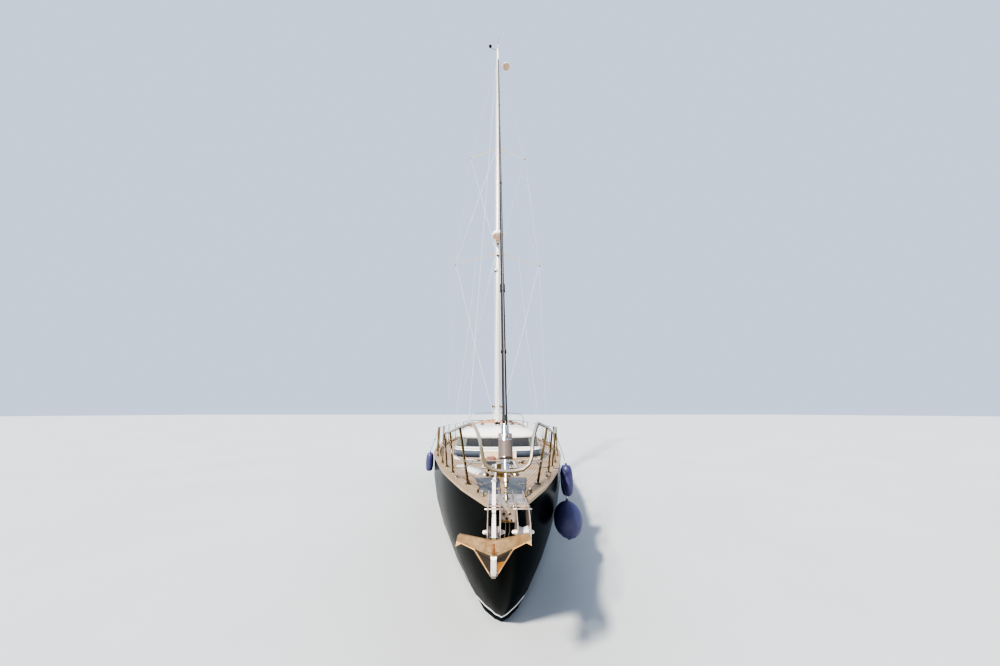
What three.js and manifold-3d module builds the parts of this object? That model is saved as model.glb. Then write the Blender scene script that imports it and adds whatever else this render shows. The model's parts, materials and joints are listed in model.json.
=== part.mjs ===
// A cruising sailing yacht afloat: hull, deck, deckhouse, cockpit and rig.
// Millimetres, +Z up, +X to port, bow towards -Y, origin amidships on the centreline at the waterline.
import * as THREE from "three";
import { mergeVertices } from "three/addons/utils/BufferGeometryUtils.js";
import Module from "manifold-3d";

const wasm = await Module();
wasm.setup();

// Clearances
const SEAT = 0.3; // between pieces that rest on each other
const RUN = 0.5; // round a pin or on a runner

// Hull lines, one row per station, from the stem to the transom
const STATION_COLUMNS = { y: 0, beam: 1, cap: 2, bottom: 3, full: 4 };
const STATIONS = [
  // y, half beam at the rail, top of the cap rail, bottom of the hull, fullness of the section
  [-7040, 125, 1722, 1600, 1.25],
  [-6700, 285, 1703, 1275, 1.25],
  [-6080, 498, 1670, 690, 1.3],
  [-5380, 722, 1622, 0, 1.4],
  [-4700, 905, 1575, -300, 1.6],
  [-4010, 1068, 1530, -460, 1.8],
  [-3000, 1320, 1472, -590, 2.05],
  [-1900, 1568, 1420, -660, 2.25],
  [0, 1870, 1345, -700, 2.45],
  [1500, 1990, 1312, -660, 2.5],
  [3000, 1975, 1300, -500, 2.5],
  [4500, 1800, 1310, -230, 2.4],
  [5700, 1560, 1336, 20, 2.35],
  [6500, 1375, 1362, 340, 2.3],
  [7050, 1235, 1384, 560, 2.3],
];
const STEM_Y = -7040;
const STERN_Y = 7050;
const RINGS = 22;
const SECTION_STEPS = 8;
const TRANSOM_TOP_Y = 6760;
const TRANSOM_SLOPE = 0.324; // how far the transom comes forward for each unit of height

// Deck
const CAP_THICK = 25;
const CAP_WIDE = 145;
const CAP_PROUD = 15;
const BULWARK = 60;
const DECK_DROP = 80;
const DECK_THICK = 12;
const CAMBER = 0.03;
const POCKET_FORE_Y = -6880;
const POCKET_AFT_Y = 6640;

// Deckhouse, in two levels
const TRUNK = { front: -3000, nose: 650, full: 2.8, fore: 1040, wide: 1150, aft: 2300, lean: 25, rake: 45 };
const TRUNK_TOP = 1615;
const TRUNK_WALL = 35;
const TRUNK_WINDOW = { inner: 390, low: 1464, high: 1596, aft: -2350 };
const HOUSE = { front: -2550, nose: 380, full: 2.8, fore: 985, wide: 1000, aft: 2300, lean: 28, rake: 60 };
const HOUSE_TOP = 1840;
const HOUSE_WALL = 30;
const PANE = { low: 1634, high: 1822, thick: 6 };
const DOOR = { half: 325, opening: 300, low: 1296, high: 2040, thick: 25 };
const HATCH = { opening: 1500, fore: 1450, aft: 2320, half: 370, thick: 34, runner: 330 };
const ROOF_TOP = 2055;
const HOOP = { y: 1950, half: 1055, top: 2360, radius: 11 };

// Cabin and engine bay
const SOLE = 50;
const ENGINE = { half: 270, fore: 1280, aft: 2080, low: -330, high: 380, room: 60 };

// Cockpit
const COCKPIT = { fore: 2450, aft: 5300, half: 1150, seat: 980 };
const FOOTWELL = { half: 400, aft: 5000, sole: 600 };
const LOCKER = { inner: 520, outer: 1080, fore: 2930, aft: 4270, low: 520, lap: 20, thick: 20 };
const COAMING = { fore: 2310, aft: 5460, inner: 1165, outer: 1325, aftInner: 5320, top: 1500 };
const WINCH = { x: 1245, y: 3600, radius: 72, high: 165 };
const PEDESTAL = { y: 4450, radius: 70, high: 1500 };
const WHEEL = { y: 4620, z: 1400, radius: 400, rim: 14, spokes: 5, axle: 18 };

// Foredeck
const ANCHOR_LID = { fore: -6350, aft: -5400, inner: 30, outerFore: 215, outerAft: 330, thick: 14, lap: 25, deep: 360 };
const FORE_HATCH = { fore: -4350, aft: -3750, half: 300, thick: 42, lap: 40, deep: 520 };
const WINDLASS_Y = -5170;
const CHANNEL = { port: 105, starboard: -95, half: 46, plate: 7, fore: -7345, aft: -6800, low: 1560, high: 1758 };
const STEM_PLATE = { fore: -7058, top: 1734.8 };
const ROLLER = { y: -7240, z: 1612, radius: 37, pin: 8 };
const PULPIT_TUBE = 14;
const RAIL_HIGH = 600;
const RAIL_MID = 300;
const STANCHIONS = [-4050, -2700, -1350, 0, 1350, 2700, 3950];
const STANCHION_TUBE = 12.5;
const WIRE = 4;

// Rig
const MAST = { y: -1415, fore: 100, half: 70, top: 16905 };
const LOWER_SPREADER = { z: 7377, tipX: 1471, tipY: -622 };
const UPPER_SPREADER = { z: 11739, tipX: 1033, tipY: -945 };
const SHROUD_TOP = 15970;
const SHROUD = 5;
const CHAINPLATE = { x: 1490, y: -615, lowerX: 1390, lowerY: -650 };
const FORESTAY_FOOT = new THREE.Vector3(0, -7050, 1745);
const FORESTAY_HEAD = new THREE.Vector3(0, -1530, 16250);
const GOOSENECK = { y: -1280, z: 2850, pin: 9, vang: 2250 };
const BOOM = { fore: -1235, aft: 3700, half: 45, high: 75 };
const BRIDLE_Z = 4300;
const QUARTER = { x: 1010, y: 6700 };

const tone = (color, roughness, metalness = 0) => new THREE.MeshStandardMaterial({ color, roughness, metalness });
const FINISH = {
  topsides: tone(0x0f1614, 0.15),
  antifouling: tone(0x22262a, 0.8),
  teak: tone(0xc8b49c, 0.8),
  capTeak: tone(0xcdbba5, 0.75),
  gelcoat: tone(0xf2efea, 0.3),
  smokedGlass: tone(0x35363a, 0.1),
  steel: tone(0xc9c7c2, 0.25, 1),
  bronze: tone(0x9a7a4a, 0.4, 1),
  aluminium: tone(0xd9d4cc, 0.4, 0.6),
  foil: tone(0x2a2628, 0.4, 0.3),
  galvanised: tone(0xcbbfae, 0.7, 0.2),
  rubber: tone(0x1c1c1d, 0.8),
  lid: tone(0x4a4c4f, 0.7),
  varnish: tone(0x8a5a34, 0.25),
  navy: tone(0x3a3a63, 0.7),
  iron: tone(0x3d4a44, 0.6, 0.3),
  plastic: tone(0xf0ede6, 0.4),
};

// Solids from three.js geometry
const V = (x, y, z) => new THREE.Vector3(x, y, z);

/** A closed geometry as a solid, with its shared vertices merged. */
function solid(geometry) {
  const plain = geometry.index ? geometry.toNonIndexed() : geometry.clone();
  plain.deleteAttribute("normal");
  plain.deleteAttribute("uv");
  const merged = mergeVertices(plain, 1e-3);
  const corners = merged.index.array;
  const triVerts = [];
  for (let i = 0; i < corners.length; i += 3) {
    const [a, b, c] = [corners[i], corners[i + 1], corners[i + 2]];
    if (a !== b && b !== c && c !== a) triVerts.push(a, b, c);
  }
  return new wasm.Manifold(
    new wasm.Mesh({
      numProp: 3,
      vertProperties: merged.attributes.position.array,
      triVerts: new Uint32Array(triVerts),
    }),
  );
}

/** A solid as a flat-shaded geometry. */
function geometryOf(body) {
  const mesh = body.getMesh();
  const geometry = new THREE.BufferGeometry();
  geometry.setAttribute("position", new THREE.BufferAttribute(new Float32Array(mesh.vertProperties), 3));
  geometry.setIndex(new THREE.BufferAttribute(new Uint32Array(mesh.triVerts), 1));
  const flat = geometry.toNonIndexed();
  flat.computeVertexNormals();
  return flat;
}

const join = (...bodies) => bodies.reduce((sum, body) => sum.add(body));
const cut = (body, ...tools) => tools.reduce((left, tool) => left.subtract(tool), body);
const lifted = (body, z) => body.translate([0, 0, z]);
const mirrored = (body) => body.mirror([1, 0, 0]);

function box(x0, x1, y0, y1, z0, z1) {
  const geometry = new THREE.BoxGeometry(x1 - x0, y1 - y0, z1 - z0);
  return solid(geometry.translate((x0 + x1) / 2, (y0 + y1) / 2, (z0 + z1) / 2));
}

/** Turns the Y axis of a shape onto the way from a to b and puts its middle between them. */
function between(geometry, a, b) {
  const way = b.clone().sub(a).normalize();
  const turn = new THREE.Quaternion().setFromUnitVectors(V(0, 1, 0), way);
  const middle = a.clone().add(b).multiplyScalar(0.5);
  return geometry.applyQuaternion(turn).translate(middle.x, middle.y, middle.z);
}

/** A round rod from a to b; each radius has its flats turned another way, so that no two rods share an edge. */
function rod(a, b, radius, sides = 6, endRadius = radius) {
  const geometry = new THREE.CylinderGeometry(endRadius, radius, a.distanceTo(b), sides).rotateY(0.37 * radius + 0.2);
  return solid(between(geometry, a, b));
}

function ball(at, radius, sides = 6) {
  const geometry = new THREE.SphereGeometry(radius, sides, 4).rotateX(0.31).rotateY(0.17);
  return solid(geometry.translate(at.x, at.y, at.z));
}

/** A round tube along a smooth curve through the points. */
function bentTube(points, radius, steps, sides = 6) {
  const circle = new THREE.Shape().absarc(0, 0, radius, 0, Math.PI * 2);
  const extrudePath = new THREE.CatmullRomCurve3(points, false, "centripetal");
  return solid(
    new THREE.ExtrudeGeometry(circle, { steps, extrudePath, bevelEnabled: false, curveSegments: sides / 2 }),
  );
}

/** A turned shape from [radius, height] pairs, its axis along Z. */
function turned(profile, sides = 16) {
  const points = profile.map(([radius, height]) => new THREE.Vector2(radius, height));
  return solid(new THREE.LatheGeometry(points, sides).rotateX(Math.PI / 2));
}

/** An upright prism on an outline of [x, y] corners. */
function prism(outline, low, high) {
  const shape = new THREE.Shape(outline.map(([x, y]) => new THREE.Vector2(x, y)));
  return solid(new THREE.ExtrudeGeometry(shape, { depth: high - low, bevelEnabled: false }).translate(0, 0, low));
}

/** The faces of a flat end, wound as its outline is. */
function endFaces(ring) {
  const facing = V(0, 0, 0);
  ring.forEach((point, i) => facing.add(point.clone().cross(ring[(i + 1) % ring.length])));
  const [across, up] = ["x", "y", "z"].toSorted((a, b) => Math.abs(facing[a]) - Math.abs(facing[b]));
  const outline = ring.map((point) => new THREE.Vector2(point[across], point[up]));
  const turn = Math.sign(THREE.ShapeUtils.area(outline));
  return THREE.ShapeUtils.triangulateShape(outline, []).map(([a, b, c]) => {
    const way = Math.sign(THREE.ShapeUtils.area([outline[a], outline[b], outline[c]]));
    return way === turn ? [a, b, c] : [a, c, b];
  });
}

/** A skin through rings of equal length, closed at both ends. */
function loft(rings) {
  const size = rings[0].length;
  const points = rings.flat();
  const faces = [];
  for (let start = 0; start < size * (rings.length - 1); start += size) {
    for (let i = 0; i < size; i++) {
      const [a, b] = [start + i, start + ((i + 1) % size)];
      faces.push([a, b, b + size], [a, b + size, a + size]);
    }
  }
  const last = size * (rings.length - 1);
  for (const [a, b, c] of endFaces(rings[0])) faces.push([a, c, b]);
  for (const [a, b, c] of endFaces(rings.at(-1))) faces.push([last + a, last + b, last + c]);
  const volume = faces.reduce((sum, [a, b, c]) => sum + points[a].dot(points[b].clone().cross(points[c])), 0);
  const outward = volume < 0 ? faces.map(([a, b, c]) => [a, c, b]) : faces;
  const geometry = new THREE.BufferGeometry().setFromPoints(points);
  geometry.setIndex(outward.flat());
  return solid(geometry);
}

/** A flat plate: an outline of points in space, made thick along a way. */
function plate(points, thickness) {
  return loft([points, points.map((point) => point.clone().add(thickness))]);
}

/** A round wire through the points, mitred at each bend. */
function wire(points, radius, sides = 6) {
  const ways = points.slice(1).map((point, i) => point.clone().sub(points[i]).normalize());
  const out = ways[0].clone().cross(V(0.3, 0.5, 0.8)).setLength(radius);
  const turn = new THREE.Quaternion().setFromAxisAngle(ways[0], (2 * Math.PI) / sides);
  const rings = [Array.from({ length: sides }, () => points[0].clone().add(out.applyQuaternion(turn)))];
  for (const [i, way] of ways.entries()) {
    const mitre = way.clone().add(ways[i + 1] ?? way);
    const along = (from) => points[i + 1].clone().sub(from).dot(mitre) / way.dot(mitre);
    rings.push(rings.at(-1).map((point) => point.clone().addScaledVector(way, along(point))));
  }
  return loft(rings);
}

// Hull lines between the stations
const spread = (from, to, steps) => Array.from({ length: steps + 1 }, (_, i) => from + ((to - from) * i) / steps);
const rows = STATIONS.map((row) => row[STATION_COLUMNS.y]);

/** The value of a column of the station table at any y, on a smooth curve through the rows. */
function fair(y, column) {
  const i = Math.min(Math.max(rows.findIndex((row) => row >= y) - 1, 0), rows.length - 2);
  const value = (n) => STATIONS[n][STATION_COLUMNS[column]];
  const slope = (n) => {
    const [before, after] = [Math.max(n - 1, 0), Math.min(n + 1, rows.length - 1)];
    return (value(after) - value(before)) / (rows[after] - rows[before]);
  };
  const span = rows[i + 1] - rows[i];
  const t = (y - rows[i]) / span;
  const [t2, t3] = [t * t, t * t * t];
  return (
    (2 * t3 - 3 * t2 + 1) * value(i) +
    (t3 - 2 * t2 + t) * span * slope(i) +
    (3 * t2 - 2 * t3) * value(i + 1) +
    (t3 - t2) * span * slope(i + 1)
  );
}

// Every loft along the hull has its rings at the same places, so that pieces lie on each other exactly.
const ringYs = spread(STEM_Y, STERN_Y, RINGS);
const fairRows = Object.fromEntries(
  Object.keys(STATION_COLUMNS).map((column) => [column, ringYs.map((y) => fair(y, column))]),
);

/** The value of a column at any y, straight between the rings. */
function line(y, column) {
  const place = THREE.MathUtils.clamp(((y - STEM_Y) / (STERN_Y - STEM_Y)) * RINGS, 0, RINGS);
  const i = Math.min(Math.floor(place), RINGS - 1);
  return THREE.MathUtils.lerp(fairRows[column][i], fairRows[column][i + 1], place - i);
}

const capTop = (y) => line(y, "cap");
const railX = (y) => line(y, "beam") + CAP_PROUD - CAP_WIDE / 2;
const deckTop = (y, x = 0) => {
  const half = line(y, "beam");
  return capTop(y) - DECK_DROP + CAMBER * half * (1 - (x / half) ** 2);
};

/** Half the width of the hull at a height. */
function skinX(y, z) {
  const [sheer, bottom, full] = [capTop(y) - CAP_THICK, line(y, "bottom"), line(y, "full")];
  const down = THREE.MathUtils.clamp((sheer - z) / (sheer - bottom), 0, 1);
  return line(y, "beam") * (1 - down ** full) ** (1 / full);
}

/** A loft whose sections come from a function of y, at the hull's rings and at its own two ends. */
const alongHull = (section, from = STEM_Y, to = STERN_Y) =>
  loft([from, ...ringYs.filter((y) => y > from + 1 && y < to - 1), to].map(section));

// Hull, its wells and the deck
const hullSection = (y) => {
  const [beam, sheer, bottom, full] = [line(y, "beam"), capTop(y) - CAP_THICK - SEAT, line(y, "bottom"), line(y, "full")];
  return spread(-SECTION_STEPS, SECTION_STEPS, 2 * SECTION_STEPS).map((step) => {
    const t = (Math.abs(step) / SECTION_STEPS) * (Math.PI / 2);
    const x = Math.sign(step) * beam * Math.sin(t) ** (2 / full);
    return V(x, y, sheer - (sheer - bottom) * Math.cos(t) ** (2 / full));
  });
};

/** A section across the deck between two heights that are functions of y and x. */
const deckSection = (inset, low, high, steps = 6) => (y) => {
  const half = line(y, "beam") - inset;
  const across = spread(-half, half, steps);
  return [...across.map((x) => V(x, y, low(y, x))), ...across.toReversed().map((x) => V(x, y, high(y, x)))];
};

/** The space between the bulwarks, down to the underside of the deck. */
const pocket = alongHull(
  (y) => {
    const half = line(y, "beam") - BULWARK;
    const floor = spread(-half, half, 6).map((x) => V(x, y, deckTop(y, x) - DECK_THICK - SEAT));
    return [...floor, V(half, y, 3000), V(-half, y, 3000)];
  },
  POCKET_FORE_Y,
  POCKET_AFT_Y,
);

/** Everything below the deck's surface, to seat what stands on it. */
const belowDeck = alongHull(deckSection(BULWARK, () => -900, deckTop), POCKET_FORE_Y, POCKET_AFT_Y);
const onDeck = (body) => cut(body, lifted(belowDeck, SEAT));

const slab = (overhang, low, high, from, to) =>
  alongHull(
    (y) => {
      const half = line(y, "beam") + overhang;
      return [V(-half, y, low(y)), V(half, y, low(y)), V(half, y, high(y)), V(-half, y, high(y))];
    },
    from,
    to,
  );

const transomY = (z) => TRANSOM_TOP_Y + (capTop(TRANSOM_TOP_Y) - z) * TRANSOM_SLOPE;
const behindTransom = plate(
  [V(-3000, transomY(3000), 3000), V(-3000, 9000, 3000), V(-3000, 9000, -1500), V(-3000, transomY(-1500), -1500)],
  V(6000, 0, 0),
);

/** A level outline of one level of the deckhouse, a distance outside its wall; k runs from its foot to its top. */
function houseRing(level, k, z, out, aftOut = out) {
  const front = level.front + level.rake * k - out;
  const nose = level.nose;
  const [fore, wide] = [level.fore - level.lean * k + out, level.wide - level.lean * k + out];
  const curve = spread(Math.PI / 2, -Math.PI / 2, 12).map((t) => {
    const x = fore * Math.sign(t) * Math.abs(Math.sin(t)) ** (2 / level.full);
    return V(x, front + nose - nose * Math.cos(t) ** (2 / level.full), z);
  });
  return [V(wide, level.aft + aftOut, z), ...curve, V(-wide, level.aft + aftOut, z)];
}

const houseLoft = (level, levels) => loft(levels.map(([k, z, out, aftOut]) => houseRing(level, k, z, out, aftOut)));

const cabinWell = houseLoft(TRUNK, [
  [0, SOLE, -330],
  [0, 700, -80],
  [0, 1700, -80],
]);
const engineRoom = box(
  -ENGINE.half - ENGINE.room,
  ENGINE.half + ENGINE.room,
  ENGINE.fore - ENGINE.room,
  ENGINE.aft + 20,
  ENGINE.low,
  720,
);
const cockpitWell = join(
  box(-COCKPIT.half, COCKPIT.half, COCKPIT.fore, COCKPIT.aft, COCKPIT.seat, 3000),
  box(-FOOTWELL.half, FOOTWELL.half, COCKPIT.fore, FOOTWELL.aft, FOOTWELL.sole, COCKPIT.seat + 5),
);
const lockerWell = box(LOCKER.inner, LOCKER.outer, LOCKER.fore, LOCKER.aft, LOCKER.low, COCKPIT.seat + 5);

/** The outline of an anchor locker lid on the port side, drawn in by a distance. */
const anchorLidOutline = (inset) => [
  [ANCHOR_LID.inner + inset, ANCHOR_LID.fore + inset],
  [ANCHOR_LID.outerFore - inset, ANCHOR_LID.fore + inset],
  [ANCHOR_LID.outerAft - inset, ANCHOR_LID.aft - inset],
  [ANCHOR_LID.inner + inset, ANCHOR_LID.aft - inset],
];
const anchorWell = prism(anchorLidOutline(ANCHOR_LID.lap), deckTop(ANCHOR_LID.fore) - ANCHOR_LID.deep, 3000);
const hatchWell = box(
  -FORE_HATCH.half + FORE_HATCH.lap,
  FORE_HATCH.half - FORE_HATCH.lap,
  FORE_HATCH.fore + FORE_HATCH.lap,
  FORE_HATCH.aft - FORE_HATCH.lap,
  deckTop(FORE_HATCH.aft) - FORE_HATCH.deep,
  3000,
);
const deckWells = [cabinWell, cockpitWell, anchorWell, mirrored(anchorWell), hatchWell];

const RUDDER = { y: 4640, stock: 35, low: -1480, top: -310, nose: 58, chordTop: 560, chordLow: 430, slope: 0.3 };
const SHAFT = { radius: 17, from: V(0, 2420, -490), way: V(0, Math.cos(0.14), -Math.sin(0.14)), length: 1130 };
const shaftAt = (s) => SHAFT.from.clone().addScaledVector(SHAFT.way, s);

const hullBody = alongHull(hullSection);
const hull = cut(
  hullBody,
  pocket,
  behindTransom,
  ...deckWells,
  engineRoom,
  lockerWell,
  mirrored(lockerWell),
  rod(V(0, RUDDER.y, -900), V(0, RUDDER.y, 62), RUDDER.stock + RUN, 24),
  rod(shaftAt(-220), shaftAt(600), SHAFT.radius + RUN, 16),
);
const deck = cut(
  alongHull(
    deckSection(BULWARK + SEAT, (y, x) => deckTop(y, x) - DECK_THICK, deckTop),
    POCKET_FORE_Y + SEAT,
    POCKET_AFT_Y - SEAT,
  ),
  ...deckWells,
);
const capRail = cut(
  slab(CAP_PROUD, (y) => capTop(y) - CAP_THICK, capTop, STEM_Y - CAP_PROUD, STERN_Y),
  slab(CAP_PROUD - CAP_WIDE, () => 900, () => 2200, -6850, 6640),
  behindTransom.translate([0, CAP_PROUD, 0]),
);
const belowCap = slab(CAP_PROUD + 1, () => 900, capTop, STEM_Y - CAP_PROUD - 1, STERN_Y);
const onCap = (body) => cut(body, lifted(belowCap, SEAT));

// Underbody
/** A rounded fin section at one height, from its nose to its tail. */
const finRing = (nose, tail, half, z) =>
  spread(0, 2 * Math.PI, 14)
    .slice(0, -1)
    .map((t) => {
      const back = (1 - Math.cos(t)) / 2;
      return V(half * Math.sin(t) * (1 - 0.55 * back), nose + (tail - nose) * back, z);
    });
const KEEL = [
  // height, nose, tail, half thickness
  [-300, -1150, 2100, 170],
  [-1400, -620, 2080, 150],
  [-1750, -480, 2080, 175],
  [-2040, -330, 2060, 185],
  [-2100, -270, 2020, 150],
];
const keel = cut(loft(KEEL.map(([z, nose, tail, half]) => finRing(nose, tail, half, z))), lifted(hullBody, -SEAT));

const SKEG = { noseTop: 4020, noseLow: 4330, tail: RUDDER.y - RUDDER.nose - 9, half: 58, low: -1200 };
const skegRing = (nose, half, z) => [
  V(0, nose, z),
  V(half * 0.6, nose + 90, z),
  V(half, SKEG.tail, z),
  V(-half, SKEG.tail, z),
  V(-half * 0.6, nose + 90, z),
];
const skeg = cut(
  loft([skegRing(SKEG.noseTop, SKEG.half, -60), skegRing(SKEG.noseLow, SKEG.half * 0.8, SKEG.low)]),
  lifted(hullBody, -SEAT),
);

/** The rudder's section round its stock: a round nose and a thin tail. */
const rudderRing = (chord, half, z) => {
  const nose = spread(Math.PI, 0, 8).map((t) => [half * Math.cos(t), -RUDDER.nose * Math.sin(t)]);
  const outline = [...nose, [half * 0.55, chord * 0.55], [5, chord], [-5, chord], [-half * 0.55, chord * 0.55]];
  return outline.map(([x, y]) => V(x, RUDDER.y + y, z + RUDDER.slope * Math.max(y, 0)));
};
const rudder = join(
  loft(
    [
      rudderRing(RUDDER.chordLow, 38, RUDDER.low),
      rudderRing(RUDDER.chordLow + 40, 50, RUDDER.low + 300),
      rudderRing(RUDDER.chordTop, 56, RUDDER.top),
    ],
  ),
  rod(V(0, RUDDER.y, RUDDER.top - 100), V(0, RUDDER.y, 60), RUDDER.stock, 24),
);

const strutTop = shaftAt(860);
const shaftStrut = cut(
  join(
    rod(shaftAt(800), shaftAt(920), 34, 16),
    loft(
      [-40, 40].map((dy) => [
        V(-11, strutTop.y + dy, strutTop.z + 20),
        V(11, strutTop.y + dy, strutTop.z + 20),
        V(11, strutTop.y + dy - 60, -150),
        V(-11, strutTop.y + dy - 60, -150),
      ]),
    ),
  ),
  lifted(hullBody, -SEAT),
  rod(shaftAt(0), shaftAt(1100), SHAFT.radius + RUN, 16),
);
const blade = (turn) => {
  const root = [V(-28, -16, 30), V(28, 16, 30), V(22, 20, 30), V(-34, -12, 30)];
  const middle = [V(-62, -22, 105), V(62, 22, 105), V(58, 28, 105), V(-66, -16, 105)];
  const tip = [V(-34, -6, 168), V(34, 6, 168), V(32, 11, 168), V(-36, -1, 168)];
  const turned = new THREE.Matrix4().makeRotationY(turn);
  const tilted = new THREE.Matrix4().makeRotationX(-0.14);
  const at = shaftAt(1060);
  return loft(
    [root, middle, tip].map((ring) => ring.map((point) => point.applyMatrix4(turned).applyMatrix4(tilted).add(at))),
  );
};
const propeller = join(
  rod(shaftAt(-200), shaftAt(1000), SHAFT.radius, 16),
  rod(shaftAt(985), shaftAt(1110), 46, 16, 36),
  rod(shaftAt(1105), shaftAt(1165), 36, 16, 14),
);
const engine = join(
  box(-ENGINE.half, ENGINE.half, ENGINE.fore, ENGINE.aft, ENGINE.low + SEAT, ENGINE.high - 120),
  box(-ENGINE.half + 70, ENGINE.half - 70, ENGINE.fore + 60, ENGINE.aft - 160, ENGINE.high - 125, ENGINE.high),
);

// Deckhouse
const windowCut = (x0, x1, y0, y1, low, high) => {
  const port = box(x0, x1, y0, y1, low, high);
  return join(port, mirrored(port));
};
const trunkWindows = windowCut(TRUNK_WINDOW.inner + 20, 1300, -3200, TRUNK_WINDOW.aft - 20, TRUNK_WINDOW.low + 15, TRUNK_WINDOW.high - 15);
const doorway = box(-DOOR.opening, DOOR.opening, 2200, 2400, DOOR.low - 20, ROOF_TOP + 100);
const trunk = onDeck(
  cut(
    houseLoft(TRUNK, [
      [0, 1100, 0],
      [0.95, TRUNK_TOP - 18, 0],
      [1, TRUNK_TOP, -20, 0],
    ]),
    houseLoft(TRUNK, [
      [0, 1050, -TRUNK_WALL],
      [0.9, TRUNK_TOP - 40, -TRUNK_WALL],
    ]),
    houseLoft(HOUSE, [
      [0, TRUNK_TOP - 60, -HOUSE_WALL - 25],
      [0, TRUNK_TOP + 30, -HOUSE_WALL - 25],
    ]),
    trunkWindows,
    doorway,
  ),
);
const paneRows = [
  // inner x, outer x, fore y, aft y
  [60, 300, -2700, -2350],
  [335, 690, -2700, -2250],
  [735, 1100, -2520, -2200],
  [700, 1200, -2080, -1320],
  [700, 1200, -1240, -420],
  [700, 1200, -340, 480],
  [700, 1200, 560, 1380],
];
const houseWindows = paneRows.map(([x0, x1, y0, y1]) => windowCut(x0, x1, y0, y1, PANE.low + 10, PANE.high - 10));
const deckhouse = cut(
  houseLoft(HOUSE, [
    [0, TRUNK_TOP + SEAT, 0],
    [1, HOUSE_TOP, 0],
  ]),
  houseLoft(HOUSE, [
    [-0.1, TRUNK_TOP - 20, -HOUSE_WALL],
    [1.1, HOUSE_TOP + 20, -HOUSE_WALL],
  ]),
  ...houseWindows,
  doorway,
);
const runner = box(HATCH.runner, HATCH.runner + 30, 650, 2290, ROOF_TOP - 12, ROOF_TOP + 30);
const roof = cut(
  join(
    houseLoft(HOUSE, [
      [1, HOUSE_TOP + SEAT, 20, 0],
      [1, HOUSE_TOP + 34, 34, 0],
      [1, 1990, -115, 0],
      [1, 2035, -320, -10],
      [1, ROOF_TOP, -500, -25],
    ]),
    runner,
    mirrored(runner),
  ),
  houseLoft(HOUSE, [
    [1, HOUSE_TOP - 20, -60, -HOUSE_WALL],
    [1, HOUSE_TOP + 40, -60, -HOUSE_WALL],
    [1, 1950, -190, -HOUSE_WALL],
    [1, 1995, -400, -HOUSE_WALL],
  ]),
  box(-DOOR.opening, DOOR.opening, HATCH.opening, 2400, 1700, ROOF_TOP + 100),
);

/** A band of glass lying on the outside of a wall. */
const glassBand = (level, top, base, low, high) => {
  const k = (z) => (z - base) / (top - base);
  const ring = (z, out) => [k(z), z, out];
  return cut(
    houseLoft(level, [ring(low, SEAT + PANE.thick), ring(high, SEAT + PANE.thick)]),
    houseLoft(level, [ring(low - 5, SEAT), ring(high + 5, SEAT)]),
  );
};
const houseGlass = glassBand(HOUSE, HOUSE_TOP, TRUNK_TOP, PANE.low, PANE.high);
const windscreen = houseGlass.intersect(box(-1300, 1300, -3000, -2150, 1500, 1900));
const halfOf = (side, inner, outer) => [Math.min(side * inner, side * outer), Math.max(side * inner, side * outer)];
const sideGlass = (side) => houseGlass.intersect(box(...halfOf(side, 600, 1300), -2149, 1420, 1500, 1900));
const trunkK = 0.95 / (TRUNK_TOP - 18 - 1100);
const trunkBand = cut(
  houseLoft(TRUNK, [
    [(TRUNK_WINDOW.low - 1100) * trunkK, TRUNK_WINDOW.low, SEAT + PANE.thick],
    [(TRUNK_WINDOW.high - 1100) * trunkK, TRUNK_WINDOW.high, SEAT + PANE.thick],
  ]),
  houseLoft(TRUNK, [
    [(TRUNK_WINDOW.low - 10 - 1100) * trunkK, TRUNK_WINDOW.low - 10, SEAT],
    [(TRUNK_WINDOW.high + 10 - 1100) * trunkK, TRUNK_WINDOW.high + 10, SEAT],
  ]),
);
const trunkGlass = (side) =>
  trunkBand.intersect(box(...halfOf(side, TRUNK_WINDOW.inner, 1300), -3200, TRUNK_WINDOW.aft, 1400, 1700));

const door = box(-DOOR.half, DOOR.half, 2300 + RUN, 2300 + RUN + DOOR.thick, DOOR.low, DOOR.high);
const slidingHatch = join(
  box(-HATCH.half, HATCH.half, HATCH.fore, HATCH.aft, ROOF_TOP + 30 + RUN, ROOF_TOP + 30 + HATCH.thick),
  box(-150, 150, HATCH.aft - 60, HATCH.aft - 30, ROOF_TOP + 29 + HATCH.thick, ROOF_TOP + 52 + HATCH.thick),
);
const hoop = join(
  bentTube(
    [
      V(-HOOP.half, HOOP.y, TRUNK_TOP + 20),
      V(-HOOP.half, HOOP.y, 1900),
      V(-HOOP.half + 10, HOOP.y, 2200),
      V(-HOOP.half + 90, HOOP.y, 2320),
      V(-HOOP.half + 220, HOOP.y, HOOP.top - 8),
      V(0, HOOP.y, HOOP.top + 25),
      V(HOOP.half - 220, HOOP.y, HOOP.top - 8),
      V(HOOP.half - 90, HOOP.y, 2320),
      V(HOOP.half - 10, HOOP.y, 2200),
      V(HOOP.half, HOOP.y, 1900),
      V(HOOP.half, HOOP.y, TRUNK_TOP + 20),
    ],
    HOOP.radius,
    24,
  ),
  ...[-1, 1].map((side) => rod(V(side * HOOP.half, HOOP.y, TRUNK_TOP + SEAT), V(side * HOOP.half, HOOP.y, TRUNK_TOP + 40), 24)),
);

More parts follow.
